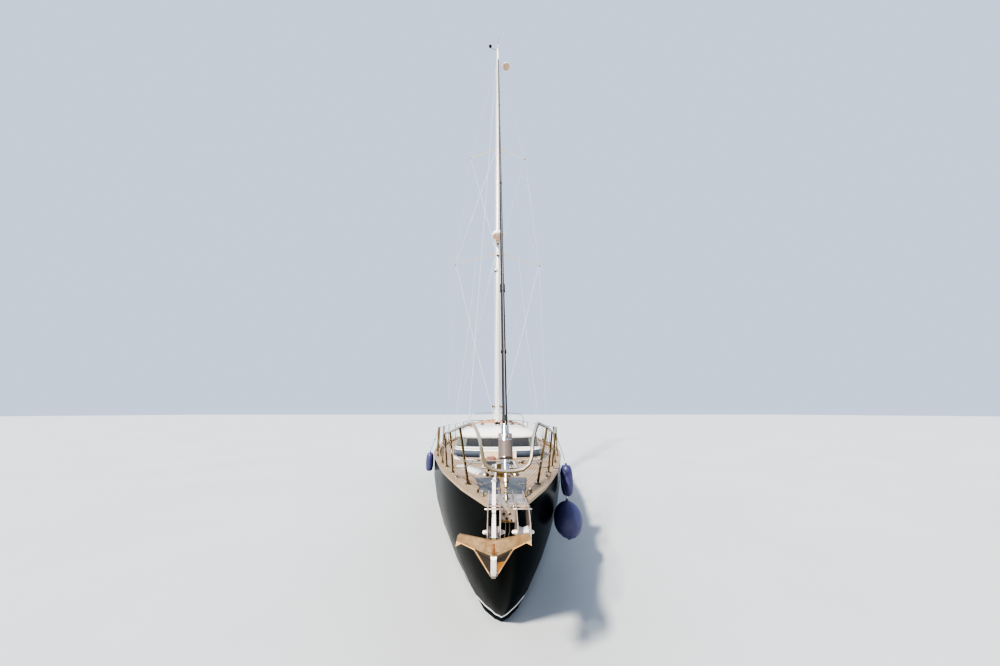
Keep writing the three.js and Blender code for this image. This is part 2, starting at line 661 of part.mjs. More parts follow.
// Cockpit
const coaming = onDeck(
  cut(
    box(-COAMING.outer, COAMING.outer, COAMING.fore, COAMING.aft, 1100, COAMING.top),
    box(-COAMING.inner, COAMING.inner, COAMING.fore - 100, COAMING.aftInner, 1000, COAMING.top + 100),
  ),
);
const winch = turned([
  [0, SEAT],
  [WINCH.radius, SEAT],
  [WINCH.radius, 22],
  [WINCH.radius * 0.72, 34],
  [WINCH.radius * 0.62, 80],
  [WINCH.radius * 0.74, 118],
  [WINCH.radius * 0.9, 128],
  [WINCH.radius * 0.9, 150],
  [24, 158],
  [24, WINCH.high],
  [0, WINCH.high],
]);
const pedestal = join(
  turned([
    [0, FOOTWELL.sole + SEAT],
    [110, FOOTWELL.sole + SEAT],
    [110, FOOTWELL.sole + 25],
    [PEDESTAL.radius, FOOTWELL.sole + 60],
    [PEDESTAL.radius, 1280],
    [100, 1330],
    [100, 1480],
    [78, PEDESTAL.high],
    [60, PEDESTAL.high + 55],
    [0, PEDESTAL.high + 80],
  ]).translate([0, PEDESTAL.y, 0]),
  rod(V(0, PEDESTAL.y + 60, WHEEL.z), V(0, WHEEL.y - 32, WHEEL.z), 40, 12),
  rod(V(0, WHEEL.y - 40, WHEEL.z), V(0, WHEEL.y + 26, WHEEL.z), WHEEL.axle, 24),
);
const wheelRim = solid(new THREE.TorusGeometry(WHEEL.radius, WHEEL.rim, 6, 30).rotateX(Math.PI / 2));
const spokes = Array.from({ length: WHEEL.spokes }, (_, i) => {
  const turn = Math.PI / 2 + (i * 2 * Math.PI) / WHEEL.spokes;
  return rod(V(Math.cos(turn) * 30, 0, Math.sin(turn) * 30), V(Math.cos(turn) * WHEEL.radius, 0, Math.sin(turn) * WHEEL.radius), 9);
});
const steeringWheel = cut(
  join(wheelRim, rod(V(0, -22, 0), V(0, 22, 0), 46, 24), ...spokes),
  rod(V(0, -40, 0), V(0, 40, 0), WHEEL.axle + RUN, 24),
);
const lockerLid = box(
  LOCKER.inner - LOCKER.lap,
  LOCKER.outer + LOCKER.lap,
  LOCKER.fore - LOCKER.lap,
  LOCKER.aft + LOCKER.lap,
  COCKPIT.seat + RUN,
  COCKPIT.seat + LOCKER.thick,
);

// Foredeck
const lidSolid = prism(anchorLidOutline(0), 1300, 2000);
const anchorLid = onDeck(lidSolid.intersect(lifted(belowDeck, ANCHOR_LID.thick)));
const foreHatchTop = deckTop(FORE_HATCH.aft) + FORE_HATCH.thick;
const foreHatch = onDeck(
  join(
    box(-FORE_HATCH.half, FORE_HATCH.half, FORE_HATCH.fore, FORE_HATCH.aft, 1300, foreHatchTop),
    box(-FORE_HATCH.half + 45, FORE_HATCH.half - 45, FORE_HATCH.fore + 45, FORE_HATCH.aft - 45, 1400, foreHatchTop + 14),
  ),
);
const windlassZ = deckTop(WINDLASS_Y);
const windlass = onDeck(
  join(
    box(-130, 130, WINDLASS_Y - 110, WINDLASS_Y + 130, windlassZ - 80, windlassZ + 28),
    box(-62, 62, WINDLASS_Y - 80, WINDLASS_Y + 95, windlassZ + 20, windlassZ + 165),
    rod(V(-128, WINDLASS_Y, windlassZ + 105), V(128, WINDLASS_Y, windlassZ + 105), 30, 12),
    rod(V(62, WINDLASS_Y, windlassZ + 105), V(100, WINDLASS_Y, windlassZ + 105), 66, 16),
    rod(V(-118, WINDLASS_Y, windlassZ + 105), V(-70, WINDLASS_Y, windlassZ + 105), 48, 12),
  ),
);

const channelCheeks = [CHANNEL.port, CHANNEL.starboard].flatMap((x) =>
  [-1, 1].map((side) => {
    const inside = x + side * (CHANNEL.half - CHANNEL.plate / 2);
    const outline = [
      V(inside, CHANNEL.aft, CHANNEL.high + 2),
      V(inside, CHANNEL.aft, STEM_PLATE.top - 6),
      V(inside, STEM_PLATE.fore - 2, STEM_PLATE.top - 6),
      V(inside, STEM_PLATE.fore - 2, CHANNEL.low),
      V(inside, CHANNEL.fore + 40, CHANNEL.low),
      V(inside, CHANNEL.fore, CHANNEL.low + 40),
      V(inside, CHANNEL.fore + 10, CHANNEL.high - 60),
      V(inside, CHANNEL.fore + 90, CHANNEL.high),
    ].map((point) => point.add(V(-CHANNEL.plate / 2, 0, 0)));
    return plate(outline, V(CHANNEL.plate, 0, 0));
  }),
);
const rollerPins = [CHANNEL.port, CHANNEL.starboard].flatMap((x) => [
  rod(V(x - 60, ROLLER.y, ROLLER.z), V(x + 60, ROLLER.y, ROLLER.z), ROLLER.pin, 12),
  rod(V(x - 60, ROLLER.y, ROLLER.z), V(x - CHANNEL.half + 1, ROLLER.y, ROLLER.z), 15, 6),
  rod(V(x + CHANNEL.half - 1, ROLLER.y, ROLLER.z), V(x + 60, ROLLER.y, ROLLER.z), 15, 6),
  rod(V(x - 56, -7150, 1744), V(x + 56, -7150, 1744), 5, 6),
]);
const stemPlate = plate(
  [
    V(-140, STEM_Y, capTop(STEM_Y) + SEAT),
    V(-140, STEM_PLATE.fore, capTop(STEM_Y) + SEAT),
    V(-140, STEM_PLATE.fore, STEM_PLATE.top),
    V(-140, CHANNEL.aft, STEM_PLATE.top),
    V(-140, CHANNEL.aft, capTop(CHANNEL.aft) + SEAT),
  ],
  V(292, 0, 0),
);
const stemFace = box(-51, 59, STEM_PLATE.fore - 24, STEM_PLATE.fore - 1, 1618, STEM_PLATE.top - 2);
const stemCorner = box(-49, 57, STEM_PLATE.fore - 20, STEM_PLATE.fore + 20, capTop(STEM_Y) + 2, STEM_PLATE.top - 3);
const forestayLug = box(-7, 7, -7095, -7010, STEM_PLATE.top - 6, 1746.5);
const stemFitting = join(...channelCheeks, ...rollerPins, stemPlate, stemFace, stemCorner, forestayLug);
const roller = turned([
  [ROLLER.pin + RUN, -36],
  [ROLLER.radius, -36],
  [ROLLER.radius - 9, -6],
  [ROLLER.radius - 9, 6],
  [ROLLER.radius, 36],
  [ROLLER.pin + RUN, 36],
  [ROLLER.pin + RUN, -36],
]).rotate([0, 90, 0]);

// Anchor, about its own shank's middle plane
const shank = [
  [-6850, 1852],
  [-7262, 1664],
  [-7385, 1592],
].map(([y, z]) => V(0, y, z));
const shankBar = (a, b) => {
  const up = V(0, b.z - a.z, a.y - b.y).normalize().multiplyScalar(-20);
  const ring = (x) => [a.clone().add(up), b.clone().add(up), b.clone().sub(up), a.clone().sub(up)].map((p) => p.setX(x));
  return loft([ring(-14), ring(14)]);
};
const wingHalf = plate(
  [
    V(-4, -7392, 1616),
    V(218, -7385, 1654),
    V(232, -7385, 1640),
    V(241, -7388, 1588),
    V(206, -7390, 1604),
    V(135, -7400, 1578),
    V(-4, -7425, 1524),
  ],
  V(0, 16, 0),
);
const flukeHalf = plate([V(-4, -7420, 1560), V(135, -7396, 1584), V(22, -7258, 1366), V(-4, -7262, 1362)], V(0, 12, 4));
const spine = loft(
  [
    [V(-14, -7430, 1560), V(14, -7430, 1560), V(14, -7396, 1560), V(-14, -7396, 1560)],
    [V(-15, -7290, 1372), V(15, -7290, 1372), V(13, -7250, 1352), V(-13, -7250, 1352)],
  ],
);
const anchor = join(
  shankBar(shank[0], shank[1]),
  shankBar(shank[1], shank[2]),
  wingHalf,
  mirrored(wingHalf),
  flukeHalf,
  mirrored(flukeHalf),
  spine,
).translate([CHANNEL.starboard, 0, 0]);

// Rails
const pulpitTop = [
  // half width, y, height
  [280, -6950, 2310],
  [436, -6500, 2256],
  [662, -5600, 2158],
  [830, -5000, 2100],
];
const pulpitFront = [
  [100, -7262, 2003],
  [150, -7255, 2030],
  [180, -7225, 2085],
  [198, -7180, 2175],
  [232, -7080, 2253],
  [280, -6950, 2310],
];
const sided = (side, rows) => rows.map(([x, y, z]) => V(side * x, y, z));
const pulpitLegs = [
  // top x, top y, top z, foot y
  [436, -6500, 2256, -6210],
  [662, -5600, 2158, -5330],
  [824, -5050, 2103, -4620],
];
const LEG_INBOARD = 37; // of the middle of the cap rail
const footed = (x, y, z, footX, footY) => {
  const foot = V(footX, footY, capTop(footY));
  return join(
    rod(foot.clone().add(V(0, 0, -8)), V(x, y, z), PULPIT_TUBE - 1),
    rod(foot.clone().add(V(0, 0, -12)), foot.clone().add(V(0, 0, 14)), 34, 10),
  );
};
const pulpitSide = (side) => [
  bentTube(sided(side, pulpitTop), PULPIT_TUBE, 8),
  ball(V(side * 280, -6950, 2310), PULPIT_TUBE * 1.05),
  ...pulpitLegs.map(([x, y, z, footY]) => footed(side * x, y, z, side * (railX(footY) - LEG_INBOARD), footY)),
  bentTube(sided(side, [[160, -7250, 2045], [393, -6336, 1925], [651, -5463, 1885], [827, -4855, 1870]]), 9, 6, 6),
];
const pulpit = onCap(
  join(
    bentTube([...sided(-1, pulpitFront.toReversed()), ...sided(1, pulpitFront)], PULPIT_TUBE, 22),
    ...pulpitSide(-1),
    ...pulpitSide(1),
  ),
);

const railPoint = (side, y, high) => V(side * railX(y), y, capTop(y) + high);
const pushpitLegs = [5250, 6050];
const guardPosts = (side, foreEnd, high) => [foreEnd, ...STANCHIONS.map((y) => railPoint(side, y, high))];
const lifeline = (side) => {
  const posts = STANCHIONS.flatMap((y) => [
    rod(railPoint(side, y, -20), railPoint(side, y, RAIL_HIGH + 12), STANCHION_TUBE),
    rod(railPoint(side, y, -20), railPoint(side, y, 45), 24),
  ]);
  const aftPost = railPoint(side, pushpitLegs[0], 0);
  const guard = (foreEnd, high) => {
    const points = [...guardPosts(side, foreEnd, high), aftPost.clone().setZ(aftPost.z + high)];
    const clear = PULPIT_TUBE + 2;
    const leaning = 10; // more where the pulpit's last leg leans across the wire's end
    const [first, last] = [points[0], points.at(-1)];
    first.addScaledVector(points[1].clone().sub(first).normalize(), clear + leaning);
    last.addScaledVector(points.at(-2).clone().sub(last).normalize(), clear);
    return wire(points, WIRE);
  };
  return onCap(join(...posts, guard(V(side * 830, -5000, 2095), RAIL_HIGH), guard(V(side * 827, -4855, 1870), RAIL_MID)));
};
const pushpit = (side) => {
  const corner = [side * (railX(6560) - 30), 6600];
  const inner = [side * 900, 6702];
  const end = [side * 330, 6705];
  const at = ([x, y], high) => V(x, y, capTop(y) + high);
  const foreLegs = pushpitLegs.map((y) => [side * railX(y), y]);
  const tube = (high, radius) => bentTube([...foreLegs, corner, inner, end].map((point) => at(point, high)), radius, 12);
  const posts = [...foreLegs, inner, end].map((point) => footed(...at(point, RAIL_HIGH).toArray(), ...point));
  return onCap(join(tube(RAIL_HIGH, PULPIT_TUBE), tube(RAIL_MID, 10), ...posts, ball(at(end, RAIL_HIGH), PULPIT_TUBE * 1.05)));
};

// Stern ladder, folded up against the transom, about its hinge
const LADDER = { z: 850, out: 42, half: 190, long: 930, rungs: 4, tube: 13, hub: 16 };
const ladderFoot = V(0, transomY(LADDER.z) + LADDER.out, LADDER.z);
const ladderWay = V(0, -TRANSOM_SLOPE, 1).normalize();
const ladderAt = (x, s) => ladderFoot.clone().addScaledVector(ladderWay, s).setX(x);
const ladderBar = (s, half, radius, sides) => rod(ladderAt(-half, s), ladderAt(half, s), radius, sides);
const rungGap = LADDER.long / (LADDER.rungs + 0.4);
const sternLadder = join(
  ladderBar(0, LADDER.half + LADDER.hub, LADDER.hub, 8),
  ...[-1, 1].map((side) => rod(ladderAt(side * LADDER.half, 0), ladderAt(side * LADDER.half, LADDER.long), LADDER.tube)),
  ...spread(1, LADDER.rungs, LADDER.rungs - 1).map((i) => ladderBar(i * rungGap, LADDER.half - 4, LADDER.tube - 3, 6)),
);
const bracketHalf = LADDER.half + 46;
const bracketFace = (z, out) => V(-bracketHalf, transomY(z) + out, z);
const ladderBracket = join(
  plate(
    [
      bracketFace(LADDER.z - 45, SEAT + 0.1),
      bracketFace(LADDER.z - 45, 12),
      bracketFace(LADDER.z + 45, 12),
      bracketFace(LADDER.z + 45, SEAT + 0.1),
    ],
    V(2 * bracketHalf, 0, 0),
  ),
  ...[-1, 1].flatMap((side) => {
    const [inside, outside] = [LADDER.half + 22, bracketHalf].map((x) => side * x);
    const [low, high] = [Math.min(inside, outside), Math.max(inside, outside)];
    const pinEnd = ladderFoot.clone().setX(side * (LADDER.half + LADDER.hub + RUN));
    return [
      box(low, high, transomY(LADDER.z) + 8, ladderFoot.y + 16, LADDER.z - 20, LADDER.z + 20),
      rod(pinEnd, ladderFoot.clone().setX((low + high) / 2), 9),
    ];
  }),
);

// Mast and spreaders
/** An oval section across the mast. */
const ovalRing = (half, fore, y, z, sides = 16) =>
  spread(0, 2 * Math.PI, sides)
    .slice(0, -1)
    .map((t) => V(half * Math.sign(Math.cos(t)) * Math.abs(Math.cos(t)) ** 0.8, y + fore * Math.sign(Math.sin(t)) * Math.abs(Math.sin(t)) ** 0.8, z));
const forestayWay = FORESTAY_HEAD.clone().sub(FORESTAY_FOOT).normalize();
const forestayAt = (s) => FORESTAY_FOOT.clone().addScaledVector(forestayWay, s);
const stayLength = FORESTAY_FOOT.distanceTo(FORESTAY_HEAD);
const FOIL_TOP = stayLength - 260;
const gooseneckEars = [GOOSENECK.vang, GOOSENECK.z].flatMap((z) => [
  box(-20, 20, MAST.y + 60, GOOSENECK.y + 20, z - 50, z - 38),
  box(-20, 20, MAST.y + 60, GOOSENECK.y + 20, z + 38, z + 50),
  rod(V(0, GOOSENECK.y, z - 45), V(0, GOOSENECK.y, z + 45), GOOSENECK.pin, 16),
]);
const mast = cut(
  join(
    loft([2030, MAST.top].map((z) => ovalRing(MAST.half, MAST.fore, MAST.y, z))),
    loft([2030, 2085].map((z) => ovalRing(MAST.half + 40, MAST.fore + 40, MAST.y, z))),
    box(-14, 14, -1640, -1090, MAST.top - 130, MAST.top - 20),
    box(-9, 9, FORESTAY_HEAD.y - 25, MAST.y, FORESTAY_HEAD.z - 30, FORESTAY_HEAD.z + 40),
    rod(forestayAt(FOIL_TOP + 1), FORESTAY_HEAD, 9),
    ...gooseneckEars,
  ),
  lifted(roof, SEAT),
  roof,
);
const spreader = (row, side, chordIn, chordOut) => {
  const root = V(side * (MAST.half + SEAT), MAST.y + 25, row.z);
  const tip = V(side * (row.tipX - SHROUD - 8), row.tipY, row.z);
  const wing = (at, chord, half) => [V(at.x, at.y - chord / 2, at.z), V(at.x, at.y, at.z + half), V(at.x, at.y + chord / 2, at.z), V(at.x, at.y, at.z - half)];
  return join(
    loft([wing(root, chordIn, 22), wing(tip, chordOut, 13)]),
    loft([wing(root, chordIn + 60, 40), wing(root.clone().add(V(side * 70, 30, 0)), chordIn, 24)]),
  );
};

const shrouds = (side) => {
  const foot = V(side * CHAINPLATE.x, CHAINPLATE.y, deckTop(CHAINPLATE.y, CHAINPLATE.x));
  const lowerFoot = V(side * CHAINPLATE.lowerX, CHAINPLATE.lowerY, deckTop(CHAINPLATE.lowerY, CHAINPLATE.lowerX));
  const tip = (row) => V(side * row.tipX, row.tipY, row.z);
  const mastEye = (z) => V(side * (MAST.half + 9), MAST.y, z);
  const screw = (from, to) => {
    const way = to.clone().sub(from).normalize();
    return rod(from.clone().addScaledVector(way, 60), from.clone().addScaledVector(way, 330), 11);
  };
  const cap = [foot, tip(LOWER_SPREADER), tip(UPPER_SPREADER), mastEye(SHROUD_TOP)];
  const lower = [lowerFoot, mastEye(LOWER_SPREADER.z - 130)];
  const middle = [tip(LOWER_SPREADER), mastEye(UPPER_SPREADER.z - 130)];
  const plateBar = box(CHAINPLATE.lowerX - 30, CHAINPLATE.x + 30, CHAINPLATE.lowerY - 30, CHAINPLATE.y + 30, foot.z - 60, foot.z + 16);
  return onDeck(
    join(
      side > 0 ? plateBar : mirrored(plateBar),
      wire(cap, SHROUD),
      wire(lower, SHROUD),
      wire(middle, SHROUD),
      screw(cap[0], cap[1]),
      screw(lower[0], lower[1]),
      ball(tip(LOWER_SPREADER), 12.5),
      ball(tip(UPPER_SPREADER), 12.5),
      ball(mastEye(SHROUD_TOP), 8.7),
      ball(mastEye(LOWER_SPREADER.z - 130), 8.7),
      ball(mastEye(UPPER_SPREADER.z - 130), 8.7),
    ),
  );
};

const sternCentre = V(0, 6700, capTop(6700));
const backstayHead = V(0, -1078, MAST.top - 75);
const bridle = backstayHead.clone().lerp(sternCentre, (backstayHead.z - BRIDLE_Z) / (backstayHead.z - sternCentre.z));
const backstay = onCap(
  join(
    rod(bridle, backstayHead.clone().addScaledVector(sternCentre.clone().sub(backstayHead).normalize(), 3), SHROUD, 6),
    box(-24, 24, bridle.y - 13, bridle.y + 13, bridle.z - 26, bridle.z + 26),
    ...[-1, 1].flatMap((side) => {
      const foot = V(side * QUARTER.x, QUARTER.y, capTop(QUARTER.y) - 20);
      const way = bridle.clone().sub(foot).normalize();
      return [
        rod(foot, bridle.clone().setX(side * 14), SHROUD, 6),
        rod(foot.clone().addScaledVector(way, 70), foot.clone().addScaledVector(way, 380), 12),
        rod(foot, foot.clone().add(V(0, 0, 34)), 28, 12),
      ];
    }),
  ),
);

// Furler on the forestay: drum, foil and halyard swivel in one turning piece
const stayS = (z) => (z - FORESTAY_FOOT.z) / forestayWay.z;
const furlerProfile = [
  // radius, height where it starts
  [35, 1950],
  [35, 2026],
  [60, 2034],
  [60, 2172],
  [34, 2180],
  [34, 2284],
  [22, 2292],
  [22, 2320],
  [22.5, 2330],
  [22.5, 2996],
  [30, 3000],
  [30, 3022],
  [22.5, 3026],
  [22.5, 3830],
  [31, 3836],
  [31, 3950],
  [20.5, 3956],
].map(([radius, z]) => [radius, stayS(z)]);
const stayTurn = new THREE.Quaternion().setFromUnitVectors(V(0, 0, 1), forestayWay);
const alongStay = (profile, sides) => {
  const points = profile.map(([radius, s]) => new THREE.Vector2(radius, s));
  const geometry = new THREE.LatheGeometry(points, sides).rotateX(Math.PI / 2).applyQuaternion(stayTurn);
  return solid(geometry.translate(FORESTAY_FOOT.x, FORESTAY_FOOT.y, FORESTAY_FOOT.z));
};
const furler = alongStay([[0, furlerProfile[0][1]], ...furlerProfile, [20.5, FOIL_TOP], [0, FOIL_TOP]], 16);
const turnbuckle = alongStay(
  [
    [0, 8.5],
    [16, 8.5],
    [16, 40],
    [9, 48],
    [9, 90],
    [15, 96],
    [15, 128],
    [24, 134],
    [24, 160],
    [14, 168],
    [14, 195],
    [19, 200],
    [19, furlerProfile[0][1] - 1],
    [0, furlerProfile[0][1] - 1],
  ],
  12,
);

// Boom and its vang, about the gooseneck pin
const boomEye = (z) => rod(V(0, GOOSENECK.y, z - 37), V(0, GOOSENECK.y, z + 37), 24, 16);
const boomPin = (z) => rod(V(0, GOOSENECK.y, z - 60), V(0, GOOSENECK.y, z + 60), GOOSENECK.pin + RUN, 16);
const boomRing = (y, half, high) =>
  ovalRing(half, high, 0, y).map((point) => V(point.x, y, GOOSENECK.z + point.y));
const boom = cut(
  join(
    loft([boomRing(BOOM.fore, BOOM.half, BOOM.high), boomRing(BOOM.aft, BOOM.half, BOOM.high)]),
    loft([boomRing(BOOM.aft - 5, BOOM.half + 4, BOOM.high + 4), boomRing(BOOM.aft + 60, BOOM.half - 5, BOOM.high - 10)]),
    box(-12, 12, GOOSENECK.y, BOOM.fore + 10, GOOSENECK.z - 30, GOOSENECK.z + 30),
    boomEye(GOOSENECK.z),
  ),
  boomPin(GOOSENECK.z),
);
const vangTop = V(0, -120, GOOSENECK.z - BOOM.high - 1);
const vangFoot = V(0, GOOSENECK.y + 22, GOOSENECK.vang);
const boomVang = cut(
  join(
    boomEye(GOOSENECK.vang),
    rod(V(0, GOOSENECK.y, GOOSENECK.vang), vangFoot, 12),
    rod(vangFoot, vangTop, 22, 12),
    rod(vangFoot.clone().lerp(vangTop, 0.1), vangFoot.clone().lerp(vangTop, 0.6), 29, 12),
  ),
  boomPin(GOOSENECK.vang),
  loft([boomRing(BOOM.fore, BOOM.half, BOOM.high + SEAT), boomRing(BOOM.aft, BOOM.half, BOOM.high + SEAT)]),
);

// On the mast
const radome = join(
  turned(
    [
      [0, -90],
      [120, -90],
      [168, -74],
      [184, -40],
      [186, 10],
      [176, 48],
      [140, 76],
      [70, 90],
      [0, 94],
    ],
    24,
  ).translate([0, -1780, 7800]),
  box(-60, 60, -1900, MAST.y - MAST.fore - SEAT, 7690, 7712),
  box(-40, 40, MAST.y - MAST.fore - 22, MAST.y - MAST.fore - SEAT, 7600, 7800),
);
const televisionAntenna = join(
  turned(
    [
      [0, -46],
      [110, -46],
      [142, -20],
      [145, 6],
      [128, 30],
      [80, 48],
      [0, 54],
    ],
    20,
  ).translate([325, -1370, 16070]),
  rod(V(325, -1370, 16040), V(325, -1370, 15998), 14),
  rod(V(325, -1370, 16010), V(MAST.half + 1, MAST.y, 16010), 11),
  box(MAST.half + SEAT, MAST.half + 12, MAST.y - 24, MAST.y + 24, 15990, 16040),
);
const windGear = join(
  box(-30, 30, MAST.y - 40, MAST.y + 40, MAST.top + SEAT, MAST.top + 24),
  rod(V(0, MAST.y, MAST.top + 20), V(0, MAST.y, MAST.top + 655), 6, 6),
  box(-4, 4, MAST.y - 190, MAST.y + 150, MAST.top + 560, MAST.top + 570),
  box(-4, 4, MAST.y + 90, MAST.y + 150, MAST.top + 520, MAST.top + 610),
  rod(V(0, MAST.y, MAST.top + 15), V(-330, MAST.y - 60, MAST.top + 60), 6, 6),
  rod(V(-330, MAST.y - 60, MAST.top + 40), V(-330, MAST.y - 60, MAST.top + 170), 6, 6),
  rod(V(-330, MAST.y - 60, MAST.top + 150), V(-330, MAST.y - 60, MAST.top + 165), 60, 12),
);

// Fenders, each hung on its own line
const FENDERS = [
  // name, side, y, low, high, radius, what it hangs from
  ["fender_round_port", 1, -4880, 660, 1185, 205, "cap"],
  ["fender_long_port", 1, -4230, 1030, 1560, 105, "wire"],
  ["fender_starboard", -1, -1950, 1000, 1470, 92, "wire"],
];
const overCap = (top, y) =>
  wire([top, V(line(y, "beam") + CAP_PROUD + 7, y, capTop(y) + 5), V(railX(y), y, capTop(y) + 5)], 5);

/** A line up to the upper wire on the port side, with a knot that goes round the wire. */
const roundWire = (top, y) => {
  const posts = guardPosts(1, V(830, -5000, 2095), RAIL_HIGH);
  const next = posts.findIndex((post) => post.y > y);
  const [fore, aft] = [posts[next - 1], posts[next]];
  const at = fore.clone().lerp(aft, (y - fore.y) / (aft.y - fore.y));
  const knot = box(at.x - 10, at.x + 10, y - 13, y + 13, at.z - 10, at.z + 10);
  return cut(join(knot, wire([top, at.clone().add(V(0, 0, -8))], 5)), rod(fore, aft, WIRE + 1, 8));
};
const fender = (side, y, low, high, radius, hangs) => {
  const middle = (low + high) / 2;
  const half = (high - low) / 2 - 30;
  const round = radius > 150;
  const shape = spread(-Math.PI / 2, Math.PI / 2, 12).map((t) => [
    radius * Math.cos(t) ** (round ? 1 : 0.4),
    middle + half * Math.sin(t),
  ]);
  const clear = Math.max(...shape.map(([r, z]) => skinX(y, z) + r), ...shape.map(([r, z]) => (z > 1350 ? line(y, "beam") + CAP_PROUD + r : 0)));
  const x = clear + (round ? 22 : 8);
  const profile = [[0, middle - half - 4], ...shape.slice(1, -1), [0, middle + half + 4]];
  const top = V(x, y, high);
  const hung = hangs === "cap" ? overCap(top, y) : roundWire(top, y);
  const body = join(turned(profile).translate([x, y, 0]), rod(V(x, y, middle + half - 20), top, 26, 8, 14), onCap(hung));
  return side > 0 ? body : mirrored(body);
};

// The assembly
const yacht = new THREE.Group();

/** A group of the yacht, filled from rows of name, solid, finish and, for pieces built about their own centre, place. */
function assemble(pieces) {
  const group = new THREE.Group();
  for (const [name, body, finish, place] of pieces) {
    const mesh = new THREE.Mesh(geometryOf(body), FINISH[finish]);
    mesh.name = name;
    if (place) mesh.position.copy(place);
    group.add(mesh);
  }
  yacht.add(group);
}
const SIDES = [
  ["port", 1],
  ["starboard", -1],
];

assemble([
  ["hull", hull, "topsides"],
  ["keel", keel, "antifouling"],
  ["skeg", skeg, "antifouling"],
  ["rudder", rudder, "antifouling"],
  ["shaft_strut", shaftStrut, "bronze"],
  ["propeller", join(propeller, ...[0, 1, 2].map((i) => blade((i * 2 * Math.PI) / 3))), "bronze"],
  ["engine", engine, "iron"],
  ["deck", deck, "teak"],
  ["cap_rail", capRail, "capTeak"],
]);
assemble([
  ["trunk", trunk, "gelcoat"],
  ["deckhouse", deckhouse, "gelcoat"],
  ["deckhouse_roof", roof, "gelcoat"],
  ["windscreen", windscreen, "smokedGlass"],
  ["companionway_hatch", slidingHatch, "varnish"],
  ["companionway_door", door, "varnish"],
  ["sprayhood_hoop", hoop, "steel"],
]);
assemble([
  ["cockpit_coaming", coaming, "gelcoat"],
  ["steering_pedestal", pedestal, "gelcoat"],
  ["steering_wheel", steeringWheel, "steel", V(0, WHEEL.y, WHEEL.z)],
]);
assemble([
  ["stem_fitting", stemFitting, "steel"],
  ["anchor", anchor, "galvanised"],
  ["windlass", windlass, "steel"],
  ["foredeck_hatch", foreHatch, "smokedGlass"],
  ["pulpit", pulpit, "steel"],
  ["stern_ladder", sternLadder, "steel"],
  ["ladder_bracket", ladderBracket, "steel"],
]);
assemble([
  ["mast", mast, "aluminium"],
  ["boom", boom, "aluminium"],
  ["boom_vang", boomVang, "aluminium"],
  ["furler", furler, "foil"],
  ["forestay_turnbuckle", turnbuckle, "steel"],
  ["backstay", backstay, "steel"],
  ["radome", radome, "plastic"],
  ["television_antenna", televisionAntenna, "plastic"],
  ["wind_gear", windGear, "foil"],
]);
for (const [name, side] of SIDES) {
  const sidedBody = (body) => (side > 0 ? body : mirrored(body));
  assemble([
    ["trunk_window_" + name, trunkGlass(side), "smokedGlass"],
    ["side_window_" + name, sideGlass(side), "smokedGlass"],
    ["anchor_locker_lid_" + name, sidedBody(anchorLid), "lid"],
    ["cockpit_locker_lid_" + name, sidedBody(lockerLid), "teak"],
    ["bow_roller_" + name, roller, "rubber", V(CHANNEL[name], ROLLER.y, ROLLER.z)],
    ["winch_" + name, winch, "steel", V(side * WINCH.x, WINCH.y, COAMING.top)],
    ["lifeline_" + name, lifeline(side), "steel"],
    ["pushpit_" + name, pushpit(side), "steel"],
    ["lower_spreader_" + name, spreader(LOWER_SPREADER, side, 130, 70), "aluminium"],
    ["upper_spreader_" + name, spreader(UPPER_SPREADER, side, 110, 60), "aluminium"],
    ["shrouds_" + name, shrouds(side), "steel"],
  ]);
}
assemble(FENDERS.map(([name, ...sizes]) => [name, fender(...sizes), "navy"]));

export default yacht;
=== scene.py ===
"""Looks of a cruising yacht afloat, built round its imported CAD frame.

Sizes in the classes are millimetres: X to port, Y towards the stern, Z up from the water.
"""

import json
import logging
import math
from dataclasses import dataclass
from enum import Enum
from typing import ClassVar

import bmesh
import bpy
from mathutils import Matrix, Vector
from mathutils.bvhtree import BVHTree

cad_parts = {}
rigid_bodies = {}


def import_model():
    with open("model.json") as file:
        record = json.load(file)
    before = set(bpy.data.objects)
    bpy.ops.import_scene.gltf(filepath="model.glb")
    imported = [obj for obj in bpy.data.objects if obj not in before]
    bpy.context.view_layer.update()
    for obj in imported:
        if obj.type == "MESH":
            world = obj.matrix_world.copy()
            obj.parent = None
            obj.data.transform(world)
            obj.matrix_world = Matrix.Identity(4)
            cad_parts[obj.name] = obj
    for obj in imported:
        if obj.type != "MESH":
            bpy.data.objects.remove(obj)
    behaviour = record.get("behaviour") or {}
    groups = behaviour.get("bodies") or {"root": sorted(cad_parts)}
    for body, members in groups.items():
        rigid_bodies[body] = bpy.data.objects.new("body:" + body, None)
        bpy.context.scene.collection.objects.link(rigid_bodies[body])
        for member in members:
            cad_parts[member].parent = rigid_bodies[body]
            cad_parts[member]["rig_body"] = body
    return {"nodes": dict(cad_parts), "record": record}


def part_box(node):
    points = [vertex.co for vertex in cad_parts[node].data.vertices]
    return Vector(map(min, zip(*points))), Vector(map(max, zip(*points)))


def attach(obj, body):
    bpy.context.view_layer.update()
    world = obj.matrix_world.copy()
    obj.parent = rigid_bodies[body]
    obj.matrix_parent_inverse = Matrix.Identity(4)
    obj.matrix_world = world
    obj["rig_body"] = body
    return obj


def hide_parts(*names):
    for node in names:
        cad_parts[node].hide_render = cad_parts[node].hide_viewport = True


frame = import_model()

LOG = logging.getLogger("yacht")
Point = tuple[float, float, float]
Place = Point | Vector
UP, DOWN = (0, 0, 1), (0, 0, -1)
AFT, FORE = (0, 1, 0), (0, -1, 0)
PORT, STARBOARD = (1, 0, 0), (-1, 0, 0)
SIDES = {"port": 1, "starboard": -1}
# Angles in degrees above which an edge stays sharp, on a piece and on a node's smooth copy,
# and above which a piece's edge is rounded.
CREASE, SKIN_CREASE, ROUNDED_ABOVE = 38, 33, 50
# How far apart corners of a CAD mesh may lie to be one, in metres.
WELD_M = 0.00002
# How deep a panel goes into what it lies on, in millimetres.
SUNK = 2


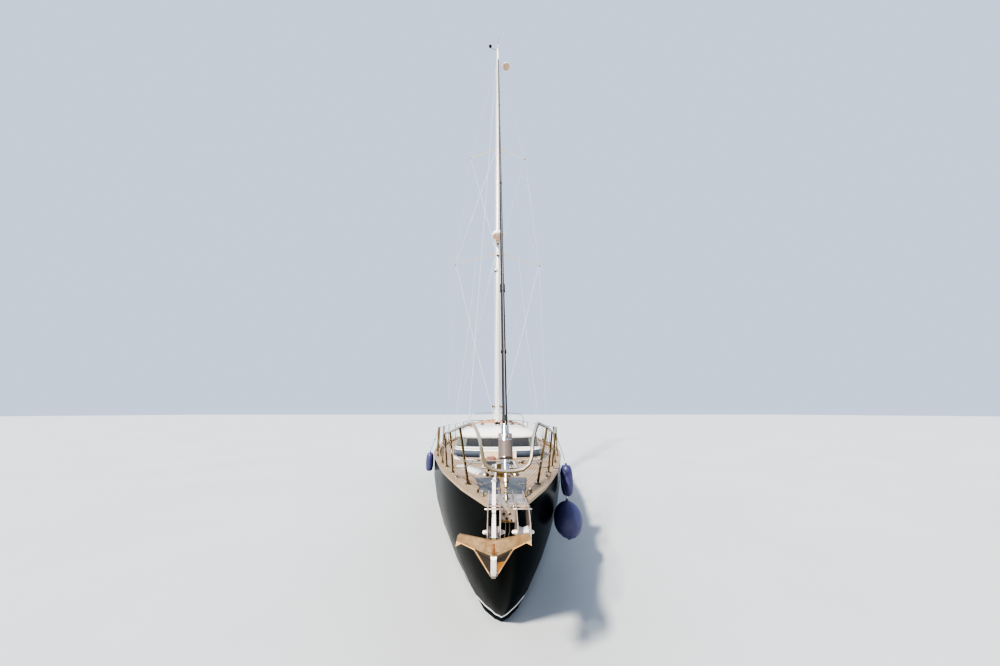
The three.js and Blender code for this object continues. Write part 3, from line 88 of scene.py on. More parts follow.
class Look(Enum):
    """The finishes; the first seventeen are the record's own material slots."""

    TOPSIDES = "topsides_paint"
    ANTIFOULING = "antifouling"
    DECK = "deck_teak"
    CAP = "cap_teak"
    GELCOAT = "gelcoat"
    GLASS = "smoked_glass"
    STAINLESS = "stainless"
    GALVANISED = "galvanised"
    BRONZE = "bronze"
    IRON = "painted_iron"
    ALUMINIUM = "aluminium"
    FOIL = "dark_foil"
    RUBBER = "black_rubber"
    COMPOSITE = "grey_composite"
    VARNISH = "varnished_wood"
    VINYL = "fender_vinyl"
    PLASTIC = "white_plastic"
    LID = "slate_lid"
    BUFF = "buff_deck_paint"
    ROPE = "white_rope"
    BLUE_ROPE = "flecked_rope"
    LEATHER = "stitched_leather"
    SLATS = "cockpit_teak"
    MAHOGANY = "brown_box"
    PANE = "trunk_pane"
    ZINC = "zinc_anode"
    PLATE = "polished_plate"
    NYLON = "turned_nylon"
    WIRE = "twisted_wire"


def linear(code: str) -> tuple[float, float, float, float]:
    """Turns an sRGB hex value into linear colour.

    Args:
        code: A hash and six hex digits.

    Returns:
        Red, green, blue and alpha, linear.
    """
    parts = [int(code[i : i + 2], 16) / 255 for i in (1, 3, 5)]
    return (*(c / 12.92 if c <= 0.04045 else ((c + 0.055) / 1.055) ** 2.4 for c in parts), 1.0)


class Value:
    """A node's output that formulas can use."""

    def __init__(self, board: "Board", socket: bpy.types.NodeSocket) -> None:
        """Keeps the output with its board."""
        self.board = board
        self.socket = socket

    def other(self, key: int | str) -> "Value":
        """Another output of the same node."""
        return Value(self.board, self.socket.node.outputs[key])

    def math(self, operation: str, *second: object) -> "Value":
        """What a Math node makes of the value, and of a second one where it takes two."""
        return self.board.add("Math", dict(enumerate((self, *second))), operation=operation)

    def __add__(self, second: object) -> "Value":
        """The two added."""
        return self.math("ADD", second)

    def __sub__(self, second: object) -> "Value":
        """The second taken from the first."""
        return self.math("SUBTRACT", second)

    def __mul__(self, second: object) -> "Value":
        """The two multiplied; of two masks, where both are."""
        return self.math("MULTIPLY", second)

    def __truediv__(self, second: object) -> "Value":
        """The first divided by the second."""
        return self.math("DIVIDE", second)

    def __or__(self, second: object) -> "Value":
        """The larger of the two; of two masks, where either is."""
        return self.math("MAXIMUM", second)

    def __gt__(self, second: object) -> "Value":
        """A mask of where the first is larger."""
        return self.math("GREATER_THAN", second)

    def __lt__(self, second: object) -> "Value":
        """A mask of where the first is smaller."""
        return self.math("LESS_THAN", second)

    def __abs__(self) -> "Value":
        """The value without its sign."""
        return self.math("ABSOLUTE")


class Board:
    """A material's node tree while its pattern is put together."""

    def __init__(self, name: str) -> None:
        """Starts a material.

        Args:
            name: Its name.
        """
        self.material = bpy.data.materials.new(name)
        self.material.use_nodes = True
        self.tree = self.material.node_tree
        self.shader = self.tree.nodes["Principled BSDF"]
        self.place = self.add("TexCoord", out="Object")

    def add(self, kind: str, inputs: dict | None = None, out: int | str = 0, **settings: object) -> Value:
        """Adds one node.

        Args:
            kind: The node's type, without Blender's prefix.
            inputs: Numbers, hex colours or other nodes' values, by input name or number.
            out: The output that is wanted.
            settings: Values for the node's own settings.

        Returns:
            The wanted output.
        """
        node = self.tree.nodes.new("ShaderNode" + kind)
        for key, value in settings.items():
            setattr(node, key, value)
        for key, value in (inputs or {}).items():
            self.feed(node.inputs[key], value)
        return Value(self, node.outputs[out])

    def feed(self, target: bpy.types.NodeSocket, value: object) -> None:
        """Sets an input to a number or hex colour, or links it to a value.

        Args:
            target: The input.
            value: What it gets.
        """
        if isinstance(value, Value):
            self.tree.links.new(target, value.socket)
        else:
            target.default_value = linear(value) if isinstance(value, str) else value

    def shade(self, **inputs: object) -> None:
        """Feeds the shader.

        Args:
            inputs: What its inputs get, by name, with _ for a space.
        """
        for key, value in inputs.items():
            self.feed(self.shader.inputs[key.replace("_", " ")], value)

    def axes(self) -> tuple[Value, Value, Value]:
        """The place along X, Y and Z, in metres."""
        x = self.add("SeparateXYZ", {0: self.place})
        return x, x.other(1), x.other(2)

    def grain(
        self, size_mm: float, stretch: Point = (1, 1, 1), low: float = 0.35, high: float = 0.65,
        detail: float = 4.0,
    ) -> Value:
        """Makes soft patches.

        Args:
            size_mm: Width of a patch.
            stretch: How much longer a patch is along each axis.
            low: Noise value that becomes 0.
            high: Noise value that becomes 1.
            detail: Octaves of the noise.

        Returns:
            A value from 0 to 1.
        """
        scale = [1000 / size_mm / s for s in stretch]
        scaled = self.add("VectorMath", {0: self.place, 1: scale}, operation="MULTIPLY")
        noise = self.add("TexNoise", {"Vector": scaled, "Scale": 1.0, "Detail": detail, "Roughness": 0.55})
        return self.add("MapRange", {"Value": noise, "From Min": low, "From Max": high})

    def within(self, low: Point, high: Point) -> Value:
        """Marks a box.

        Args:
            low: Its lowest corner, in millimetres.
            high: Its highest corner.

        Returns:
            1 inside the box, 0 outside.
        """
        mask = None
        for place, bottom, top in zip(self.axes(), low, high):
            inside = abs(place - (bottom + top) / 2000) < (top - bottom) / 2000
            mask = inside if mask is None else mask * inside
        return mask

    def lay(self, base: object, *layers: tuple[Value, object]) -> object:
        """Lays colours over a base one by one.

        Args:
            base: A hex colour or a colour value.
            layers: Masks with the colours that show where they are 1.

        Returns:
            The colour.
        """
        for mask, colour in layers:
            base = self.add("Mix", {0: mask, 6: base, 7: colour}, 2, data_type="RGBA")
        return base


@dataclass(frozen=True)
class Finish:
    """One surface: what it is made of and how it was worked."""

    name: str
    colour: str
    worn: str
    roughness: float
    spread: float = 0.08
    metallic: float = 0.0
    ior: float = 1.5
    coat: float = 0.0
    gloss: float = 0.5
    patch_mm: float = 300.0
    grain_mm: float = 4.0
    stretch: Point = (1, 1, 1)
    relief_mm: float = 0.05
    # Colour of painted shade on faces that look down, if any.
    under: str | None = None
    slot: Look | None = None

    def build(self) -> bpy.types.Material:
        """Makes the material, with the numbers that are the same all over it.

        Returns:
            The material.
        """
        board = Board(self.name)
        board.shade(Metallic=self.metallic, IOR=self.ior, Specular_IOR_Level=self.gloss)
        if self.coat:
            board.shade(Coat_Weight=self.coat, Coat_Roughness=0.06)
        self.draw(board)
        return board.material

    def surface(self, board: Board) -> tuple[object, Value, Value]:
        """Draws the plain worn surface, with painted shade on faces that look down where an under colour is
        given.

        Args:
            board: The material in work.

        Returns:
            Its colour, roughness and surface direction.
        """
        patches = board.grain(self.patch_mm, self.stretch)
        fine = board.grain(self.grain_mm, self.stretch, 0.2, 0.8)
        colour = board.lay(self.colour, (patches, self.worn))
        # Painted shade: faces that look down take the under colour.
        if self.under:
            facing = board.add("SeparateXYZ", {0: board.add("NewGeometry", out="Normal")})
            fall = board.add("MapRange", {"Value": facing.other(2), "From Min": 0.1, "From Max": -0.6})
            colour = board.lay(colour, (fall * 0.8, self.under))
        rough = fine * (2 * self.spread) + (self.roughness - self.spread)
        relief = board.add("Bump", {"Height": fine, "Distance": self.relief_mm / 1000})
        return colour, rough, relief

    def draw(self, board: Board) -> None:
        """Draws the plain surface; a finish with a pattern draws its own.

        Args:
            board: The material in work.
        """
        colour, rough, relief = self.surface(board)
        board.shade(Base_Color=colour, Roughness=rough, Normal=relief)


@dataclass(frozen=True)
class Topsides(Finish):
    """Sprayed paint on the topsides, rolled paint below it, gelcoat in the wells."""

    stripe: str = "#eceeea"
    bottom: str = "#1b2126"
    inside: str = "#efece6"
    stripe_height: float = 146
    stripe_width: float = 44
    sweep: float = 50
    sweep_from: float = -4.0
    sweep_to: float = -7.0
    bulwark_above: float = 0.9
    wells: tuple[tuple[Point, Point], ...] = (
        ((-1160, 2440, 590), (1160, 5310, 1600)),
        ((-1200, -3100, 40), (1200, 2300, 1700)),
        ((-360, -6400, 1180), (360, -5380, 1800)),
        ((-320, -4370, 900), (320, -3720, 1800)),
    )
    lockers: tuple[tuple[Point, Point], ...] = (
        ((-1085, 2925, 515), (1085, 4275, 1100)),
        ((-60, -6400, 1180), (60, -5380, 1800)),
    )

    def draw(self, board: Board) -> None:
        """Makes the hull's paint, laid on by height and by well.

        Args:
            board: The material in work.
        """
        colour, rough, relief = self.surface(board)
        x, y, z = board.axes()
        fore = board.add("MapRange", {"Value": y, "From Min": self.sweep_from, "From Max": self.sweep_to})
        above = z - fore * fore * (self.sweep / 1000)
        low = (self.stripe_height - self.stripe_width / 2) / 1000
        painted = above > low
        glossy = above > low + self.stripe_width / 1000
        facing = board.add("NewGeometry", out="True Normal")
        across = board.add("SeparateXYZ", {0: facing})
        outward = (across * x) > 0.0005
        wells = None
        for corners in self.wells:
            part = board.within(*corners)
            wells = part if wells is None else wells | part
        bulwark = ((across * x) < -0.001) | (across.other(2) > 0.7)
        wells = wells * (outward < 0.5) | bulwark * (z > self.bulwark_above)
        for corners in self.lockers:
            wells = wells | board.within(*corners)
        matt = painted < 0.5
        # Faint dried salt where spray runs off the flare.
        salt = board.grain(90, (1, 1, 6), 0.55, 0.8) * (z < self.bulwark_above) * 0.03
        board.shade(
            Base_Color=board.lay(
                self.bottom,
                (board.grain(60), "#2b3238"),
                (painted, self.stripe),
                (glossy, colour),
                (salt * glossy, "#8f9a98"),
                (wells, self.inside),
            ),
            Roughness=rough | matt * 0.75 | wells * 0.3,
            Normal=relief,
        )


@dataclass(frozen=True)
class LaidTeak(Finish):
    """Sawn teak planks bent to the deck's edge, with black caulking between them."""

    plank_mm: float = 48.0
    seam_mm: float = 8.0
    margin_mm: float = 145.0
    board_mm: float = 110.0
    king_mm: float = 130.0
    length_mm: float = 1900.0
    straight: bool = False
    seam: str = "#2b2926"

    def inboard(self, board: Board) -> Value:
        """Measures the way in from the margin board.

        Args:
            board: The material in work.

        Returns:
            Metres in from the margin board's inner edge.
        """
        x, y, _ = board.axes()
        if self.straight:
            return x + 10.0
        first, last, steps = -7000, 6560, 24
        edge = [Yard().edge(y) for y in spread(first, last, steps)]
        share = board.add("MapRange", {"Value": y, "From Min": first / 1000, "From Max": last / 1000})
        curve = board.add("FloatCurve", {"Value": share})
        mapping = curve.socket.node.mapping
        points = mapping.curves[0].points
        for i in range(1, steps):
            points.new(i / steps, edge[i] / 2500)
        points[0].location = (0.0, edge[0] / 2500)
        points[len(points) - 1].location = (1.0, edge[-1] / 2500)
        mapping.update()
        return curve * 2.5 - abs(x) - (self.margin_mm + self.board_mm) / 1000

    def draw(self, board: Board) -> None:
        """Makes the planked surface.

        Args:
            board: The material in work.
        """
        x, y, _ = board.axes()
        count = self.inboard(board) / (self.plank_mm / 1000)
        plank = count.math("FLOOR")
        # Real caulking is 5 mm wide, drawn at 8 so that it shows from the bow.
        seams = count.math("FRACT") < self.seam_mm / self.plank_mm
        if not self.straight:
            beside = abs(x) - self.king_mm / 2000
            margin = count > -self.board_mm / self.plank_mm
            seams = seams * (beside > 0) * (count > -1) | (abs(beside) < self.seam_mm / 2000)
            plank = plank * (beside > 0) * (count > 0) * margin
        chance = board.add("TexWhiteNoise", {"W": plank}, "Value", noise_dimensions="1D")
        along = y / (self.length_mm / 1000) + chance
        number = along.math("FLOOR") + plank
        butts = along.math("FRACT") < 0.003
        shade = board.add("TexWhiteNoise", {"W": number}, "Value", noise_dimensions="1D")
        seams = seams | butts
        # Annual rings about 3 mm apart, drawn 6 mm wide so that they show.
        rings = board.grain(6, (1, 60, 1), 0.3, 0.7)
        fibres = board.grain(1.5, (1, 40, 1), 0.25, 0.75, 2)
        relief = board.add("Bump", {"Height": fibres * 0.15 - seams, "Distance": 0.0008})
        board.shade(
            Base_Color=board.lay(
                self.colour,
                (rings, self.worn),
                (shade * 0.5, "#a98d72"),
                (board.grain(self.patch_mm) * 0.3, "#d9cfc3"),
                (board.grain(900, (1, 2, 1), 0.55, 0.75) * 0.25, "#97806a"),
                (seams, self.seam),
            ),
            Roughness=seams * -0.25 + self.roughness,
            Normal=relief,
        )


@dataclass(frozen=True)
class RailTeak(Finish):
    """Planed teak along the rail, silvered by the sun, scarfed every few metres."""

    dark: str = "#9b8163"
    scarf_every: float = 2.6

    def draw(self, board: Board) -> None:
        """Makes the wood with its grain along the rail and its scarf joints.

        Args:
            board: The material in work.
        """
        _, y, _ = board.axes()
        rings = board.grain(7, (1, 70, 1), 0.3, 0.7)
        fibres = board.grain(2, (1, 50, 1), 0.25, 0.75, 2)
        scarf = (y / self.scarf_every).math("FRACT") < 0.0014
        board.shade(
            Base_Color=board.lay(
                self.colour,
                (rings, self.worn),
                (board.grain(self.patch_mm, (1, 2.5, 1)) * 0.4, self.dark),
                (board.grain(35, (1, 4, 1), 0.62, 0.75) * 0.5, "#7d6a56"),
                (scarf, "#3a3028"),
            ),
            Roughness=fibres * 0.1 + (self.roughness - 0.05),
            Normal=board.add("Bump", {"Height": fibres, "Distance": 0.00015}),
        )


@dataclass(frozen=True)
class HotDipZinc(Finish):
    """Steel dipped in zinc, dull and spangled, rusting where the zinc has worn through, with painted shade
    and painted light on the fluke.
    """

    rust: str = "#8e5230"
    # Painted sunlight on the lower port hollow of the fluke.
    sunlit_orange: str = "#cf8435"
    # Painted shade in the fluke's hollows.
    hollow_shade: str = "#3a2d20"
    # Painted light on the fluke's outer faces beyond its hollows.
    rim: str = "#d9a56c"
    shank: str = "#fbf3e6"
    middle: float = -95
    fluke_ahead_of: float = -7.27
    fluke_under: tuple[float, float] = (0.32, 1.543)
    border_from: tuple[float, float, float] = (1.409, 0.494, 0.034)
    joint: tuple[Point, Point] = ((-104, -7440, 1553), (-87, -7380, 1604))

    def draw(self, board: Board) -> None:
        """Makes the zinc, the fluke's painted shade and painted light, and the rust that comes through.

        Args:
            board: The material in work.
        """
        colour, rough, relief = self.surface(board)
        x, y, z = board.axes()
        out = abs(x - self.middle / 1000)
        slope, level = self.fluke_under
        fluke = (y < self.fluke_ahead_of) * (z < out * slope + level)
        foot, widening, half = self.border_from
        border = (z - foot) * widening + half
        # Painted shade: the fluke's faces between its ridge and the border are darkened.
        hollow_shade = fluke * (out > 0.019) * (out < border)
        # Painted light: patches of the lower port hollow are lit orange.
        bright_mark = hollow_shade * (x > self.middle / 1000) * (z < 1.486) * board.grain(60, (1, 1, 1), 0.2, 0.45)
        # Painted light: the fluke's outer faces are lighter.
        rim = fluke * (out > border)
        tip = (y < -7.2) * (z < 1.391)
        blotch = board.grain(70, (1, 1, 1), 0.58, 0.7) * board.grain(9, (1, 1, 1), 0.35, 0.6)
        joint = board.within(*self.joint) * board.grain(26, (1, 1, 1), 0.3, 0.5)
        board.shade(
            Base_Color=board.lay(
                colour,
                ((y > -7.3) | (out < 0.018) * ((z > 1.626) | fluke), self.shank),
                (blotch * 0.5, self.rust),
                (rim * 0.8, self.rim),
                (hollow_shade, self.hollow_shade),
                (bright_mark, self.sunlit_orange),
                (joint * 0.9, "#6a3512"),
                (tip * 0.8, "#6e3b2c"),
            ),
            Roughness=rough + (blotch | joint | hollow_shade) * 0.25,
            Normal=relief,
        )


@dataclass(frozen=True)
class FurlerMetal(Finish):
    """Black coated foil over a polished neck, a taupe guard and a polished lower barrel."""

    line: str = "#c9c3ba"
    guard: str = "#6b5f5a"
    silver: str = "#c3c6ca"
    line_mm: float = 4.0
    barrel: tuple[float, float] = (2030, 2175)
    neck: float = 2292

    def draw(self, board: Board) -> None:
        """Makes the finishes one above another, and the bare line up the foil's nose.

        Args:
            board: The material in work.
        """
        colour, rough, relief = self.surface(board)
        x, _, z = board.axes()
        bright_mark = abs(x - 0.004) < self.line_mm / 2000
        polished = (z < self.barrel[0] / 1000) | (z > self.barrel[1] / 1000)
        lower = z < self.neck / 1000
        guard = lower * (polished < 0.5)
        silver = lower * polished
        streak = board.grain(14, (1, 1, 30), 0.4, 0.6)
        board.shade(
            Base_Color=board.lay(
                colour, (bright_mark, self.line), (guard, self.guard), (silver, self.silver),
                (silver * streak * 0.6, "#7f858d"),
            ),
            Roughness=rough - silver * 0.3,
            Metallic=(silver | bright_mark * 0.5) * 0.85,
            Normal=relief,
        )


@dataclass(frozen=True)
class SmokedPane(Finish):
    """Smoked acrylic paled towards its top edge by a painted reflection, under a dark rubber seal."""

    low: float = 1464
    high: float = 1596
    # Painted reflection: the colour that the pane pales to at its top, at strength fade.
    pale: str = "#95a3b3"
    seal: str = "#1c1715"
    ends: float = 5000
    end: str = "#6f776c"
    fade: float = 0.7

    def draw(self, board: Board) -> None:
        """Makes the painted reflection by height, the seal and the greener end panes.

        Args:
            board: The material in work.
        """
        colour, rough, relief = self.surface(board)
        x, _, z = board.axes()
        # Painted reflection: the pane pales from its foot upwards.
        rise = board.add(
            "MapRange",
            {"Value": z, "From Min": self.low / 1000 + 0.02, "From Max": self.high / 1000 - 0.02},
        )
        rim = (z > (self.high - 11) / 1000) | (z < (self.low + 15) / 1000)
        board.shade(
            Base_Color=board.lay(
                colour,
                (rise * self.fade, self.pale),
                ((abs(x) > self.ends / 1000) * 0.75, self.end),
                (rim, self.seal),
            ),
            Roughness=rough + rim * 0.5,
            Normal=relief,
        )


@dataclass(frozen=True)
class Braid(Finish):
    """Braided polyester: two sets of strands that cross."""

    strand_mm: float = 4.0
    fleck: str = "#d8d2c6"

    def draw(self, board: Board) -> None:
        """Makes the crossing strands.

        Args:
            board: The material in work.
        """
        x, y, z = board.axes()
        # Real strands are 2 mm wide, drawn at 4 so that they show.
        pitch = self.strand_mm / 1000
        waves = [((z + (x + y) * turn) / pitch * 3.1416).math("SINE") for turn in (1.0, -1.0)]
        crossing = abs(waves[0]) | abs(waves[1])
        flecks = (waves[0] * waves[1]) > 0.55
        fine = board.grain(self.grain_mm)
        board.shade(
            Base_Color=board.lay(
                self.worn, (crossing, self.colour), (flecks, self.fleck), (fine * 0.2, self.worn)
            ),
            Roughness=fine * 0.1 + self.roughness,
            Normal=board.add("Bump", {"Height": crossing, "Distance": 0.0006}),
        )


@dataclass(frozen=True)
class TubeSteel(Finish):
    """Wheel-polished stainless, its brown tint and streaks painted reflection of teak, with painted shade
    and highlight.
    """

    brown: str = "#3a2f1e"
    cream: str = "#fff3de"
    # Direction towards the fixed light that the painted shade and highlight follow.
    light: Point = (-0.45, -0.55, 0.70)

    def draw(self, board: Board) -> None:
        """Makes the polish, with painted shade on faces turned from a fixed light and a painted cream
        highlight on faces turned to it.

        Args:
            board: The material in work.
        """
        colour, rough, relief = self.surface(board)
        # Painted light by facing: brown shade away from the fixed light, a cream highlight towards it.
        facing = board.add("NewGeometry", out="Normal")
        turn = board.add("VectorMath", {0: facing, 1: self.light}, 1, operation="DOT_PRODUCT")
        dim = board.add("MapRange", {"Value": turn, "From Min": 0.55, "From Max": -0.1})
        lit = board.add("MapRange", {"Value": turn, "From Min": 0.72, "From Max": 0.95})
        board.shade(
            Base_Color=board.lay(colour, (dim * 0.85, self.brown), (lit, self.cream)),
            Roughness=rough,
            Normal=relief,
        )


FINISHES: dict[Look, Finish] = {
    # Sprayed two-pack polyurethane: near black, hard gloss; its faint green cast is painted reflection of
    # water.
    Look.TOPSIDES: Topsides(
        "sprayed_polyurethane", "#030604", "#070c08", 0.18, 0.03, gloss=0.002,
        patch_mm=900, grain_mm=40, relief_mm=0.02,
    ),
    # Rolled copper antifouling: flat and a little chalky.
    Look.ANTIFOULING: Finish(
        "rolled_antifouling", "#1b2126", "#2c343a", 0.8, patch_mm=120, grain_mm=6, relief_mm=0.3
    ),
    # Laid teak, sanded and bleached by salt: pale, pinkish, seams dark.
    Look.DECK: LaidTeak("laid_teak", "#ae8e6a", "#907050", 0.72, patch_mm=420),
    # Planed teak rail: greyer where feet and ropes have worn it.
    Look.CAP: RailTeak("planed_teak", "#b39d80", "#927b5f", 0.6, patch_mm=240),
    # Moulded gelcoat: hard, white, softly glossy with faint chalking.
    Look.GELCOAT: Finish(
        "moulded_gelcoat", "#f4f1ec", "#e6e1d8", 0.26, 0.05, coat=0.25,
        patch_mm=500, grain_mm=14, relief_mm=0.02,
    ),
    # Cast acrylic, smoked, in the windscreen: charcoal, paled upwards by a painted reflection, with a
    # brown-black seal.
    Look.GLASS: SmokedPane(
        "smoked_acrylic", "#2c3035", "#393838", 0.06, 0.02, ior=1.49, patch_mm=200,
        grain_mm=60, relief_mm=0.01, low=1634, high=1822, pale="#4a4440", fade=0.5, ends=720,
    ),
    # Cast acrylic in the trunk, leaning back to the sky: dark, with a blue grey painted sky reflection that
    # fades out towards its foot.
    Look.PANE: SmokedPane(
        "sky_lit_acrylic", "#15191f", "#1d232a", 0.08, 0.02, ior=1.49, patch_mm=200,
        grain_mm=60, relief_mm=0.01, pale="#69727f", slot=Look.GLASS,
    ),
    # Stainless tube, wheel polished: its brown tint and streaks are painted reflection of teak, with
    # painted shade and a painted highlight by facing.
    Look.STAINLESS: TubeSteel(
        "polished_stainless", "#a08c68", "#7f6d4e", 0.2, 0.05, metallic=0.9,
        patch_mm=120, grain_mm=5, relief_mm=0.01,
    ),
    # Hot-dip zinc: pale grey to cream, dull, spangled; painted shade and painted light on the fluke.
    Look.GALVANISED: HotDipZinc(
        "hot_dip_zinc", "#8f7553", "#745a38", 0.55, 0.1, metallic=0.1,
        patch_mm=34, grain_mm=4, relief_mm=0.25,
    ),
    # Cast manganese bronze: brown gold, satin.
    Look.BRONZE: Finish(
        "cast_bronze", "#a8834a", "#7c6440", 0.35, metallic=1.0, patch_mm=60, grain_mm=3
    ),
    # Enamelled cast iron: even grey paint over a slightly pebbled casting.
    Look.IRON: Finish(
        "enamelled_iron", "#7e878b", "#6b7377", 0.45, patch_mm=90, grain_mm=5, relief_mm=0.2
    ),
    # Anodised extrusion: pale, silky, streaked along its length.
    Look.ALUMINIUM: Finish(
        "anodised_aluminium", "#f0ebe2", "#d9d2c7", 0.34, 0.05, metallic=0.35,
        patch_mm=60, grain_mm=3, stretch=(1, 1, 40), relief_mm=0.02,
    ),
    # Hard-coated foil: near black, silky, over a polished and painted drum.
    Look.FOIL: FurlerMetal(
        "hard_coated_aluminium", "#1c1a1d", "#272427", 0.5, 0.06, gloss=0.25,
        patch_mm=80, grain_mm=3, stretch=(1, 1, 30), relief_mm=0.02,
    ),
    # Moulded rubber: black, matt, dusty.
    Look.RUBBER: Finish(
        "moulded_rubber", "#1f1e1e", "#2f2d2c", 0.7, patch_mm=20, grain_mm=2, relief_mm=0.1
    ),
    # Moulded glass-filled nylon: taupe grey, low sheen.
    Look.COMPOSITE: Finish(
        "moulded_nylon", "#7c706b", "#8c817b", 0.42, 0.06, coat=0.15, patch_mm=50, grain_mm=2
    ),
    # Varnished mahogany: warm tan, deep gloss, grain across the boat.
    Look.VARNISH: Finish(
        "varnished_mahogany", "#c28c55", "#99613a", 0.22, 0.04, coat=0.7,
        patch_mm=14, grain_mm=3, stretch=(30, 1, 1),
    ),
    # Inflated vinyl: navy, rubbery sheen, scuffed in bands.
    Look.VINYL: Finish(
        "inflated_vinyl", "#3a3a5e", "#444468", 0.42, 0.06, coat=0.05,
        patch_mm=90, grain_mm=5, relief_mm=0.06,
    ),
    # Moulded ABS: white, faintly warm, satin, with painted brown shade on faces that look down.
    Look.PLASTIC: Finish(
        "moulded_abs", "#f4f1eb", "#e6e0d4", 0.34, 0.05, coat=0.1, patch_mm=80, grain_mm=3,
        under="#b98f68",
    ),
    # Non-slip moulded lid: slate grey, pebbled and matt.
    Look.LID: Finish(
        "pebbled_moulding", "#5c6063", "#4b4f53", 0.6, patch_mm=120, grain_mm=7,
        relief_mm=0.5, slot=Look.GELCOAT,
    ),
    # Sanded deck paint: buff, flat, faintly blotched.
    Look.BUFF: Finish(
        "sanded_deck_paint", "#cfbca3", "#bda88f", 0.66, patch_mm=90, grain_mm=5,
        relief_mm=0.2, slot=Look.GELCOAT,
    ),
    # Braided polyester: white, softly fuzzy.
    Look.ROPE: Braid("braided_polyester", "#e6e1d6", "#b7b0a3", 0.85, slot=Look.PLASTIC),
    # Braided polyester with blue flecks.
    Look.BLUE_ROPE: Braid(
        "flecked_polyester", "#d9dde4", "#9aa3b0", 0.85, fleck="#33508a", slot=Look.PLASTIC
    ),
    # Tanned leather: brown, creased, gripped smooth.
    Look.LEATHER: Finish(
        "tanned_leather", "#6b4630", "#4f3222", 0.55, 0.1, patch_mm=30, grain_mm=2,
        relief_mm=0.3, slot=Look.VARNISH,
    ),
    # Sawn teak slats laid straight along the boat.
    Look.SLATS: LaidTeak(
        "sawn_teak_slats", "#cfb58f", "#b89a72", 0.68, plank_mm=52, seam_mm=6,
        patch_mm=260, straight=True, slot=Look.DECK,
    ),
    # Oiled mahogany: red brown, satin.
    Look.MAHOGANY: Finish(
        "oiled_mahogany", "#9a7468", "#7f5a4c", 0.45, patch_mm=40, grain_mm=3,
        stretch=(8, 1, 1), relief_mm=0.15, slot=Look.VARNISH,
    ),
    # Cast zinc: pale grey, pitted.
    Look.ZINC: Finish(
        "cast_zinc", "#a9adb0", "#84898d", 0.6, metallic=0.5, patch_mm=20, grain_mm=4,
        relief_mm=0.6, slot=Look.GALVANISED,
    ),
    # Stainless plate, buffed: pale, with warm grey clouds.
    Look.PLATE: Finish(
        "buffed_plate", "#dccdc0", "#b3a394", 0.3, 0.08, metallic=0.75, patch_mm=45,
        grain_mm=3, stretch=(1, 1, 6), relief_mm=0.02, slot=Look.STAINLESS,
    ),
    # Nineteen-strand stainless wire: pale silver, its strands drawn coarser than they are.
    Look.WIRE: Finish(
        "twisted_stainless_wire", "#e3e6ec", "#a8acb4", 0.3, metallic=0.5, patch_mm=12,
        grain_mm=4, relief_mm=0.3, slot=Look.STAINLESS,
    ),
    # Nylon turned on a lathe: pale cool grey, satin, with fine rings.
    Look.NYLON: Finish(
        "turned_nylon", "#cfd0d4", "#b3b4b9", 0.42, 0.06, patch_mm=30, grain_mm=2,
        stretch=(30, 1, 1), relief_mm=0.1, slot=Look.RUBBER,
    ),
}

# CAD nodes that look other than their record slot says.
NODE_LOOKS: dict[str, Look] = {
    "anchor_locker_lid_port": Look.LID,
    "anchor_locker_lid_starboard": Look.LID,
    "trunk_window_port": Look.PANE,
    "trunk_window_starboard": Look.PANE,
    "stem_fitting": Look.PLATE,
    "bow_roller_port": Look.NYLON,
    "bow_roller_starboard": Look.NYLON,
    "shrouds_port": Look.WIRE,
    "shrouds_starboard": Look.WIRE,
    "backstay": Look.WIRE,
}

# CAD nodes with round forms, shown by copies of the same shape that are shaded smooth.
ROUNDED = (
    "hull", "keel", "skeg", "rudder", "propeller", "trunk", "deckhouse_roof", "cockpit_coaming",
    "cap_rail", "mast", "boom", "pulpit", "pushpit_port", "pushpit_starboard", "sprayhood_hoop",
    "steering_wheel", "furler", "radome", "fender_round_port", "fender_long_port",
    "fender_starboard", "stern_ladder", "winch_port", "winch_starboard", "windlass", "anchor",
    "television_antenna", "wind_gear", "steering_pedestal", "bow_roller_port",
    "bow_roller_starboard", "lifeline_port", "lifeline_starboard", "lower_spreader_port",
    "lower_spreader_starboard", "upper_spreader_port", "upper_spreader_starboard", "boom_vang",
)


def around(count: int) -> list[float]:
    """Angles in radians all the way round, in even steps."""
    return [2 * math.pi * k / count for k in range(count)]


def spread(low: float, high: float, count: int) -> list[float]:
    """The ends of a length and the places that split it into that many even steps."""
    return [low + (high - low) * i / count for i in range(count + 1)]


def square(axis: Place, spare: Point) -> tuple[Vector, Vector, Vector]:
    """Sets up three directions square to each other.

    Args:
        axis: The first one.
        spare: What the second is square to where the axis is nearly upright.

    Returns:
        The three directions, each of length 1.
    """
    ahead = Vector(axis).normalized()
    side = ahead.cross(Vector(UP if abs(ahead.z) < 0.9 else spare)).normalized()
    return ahead, side, side.cross(ahead)


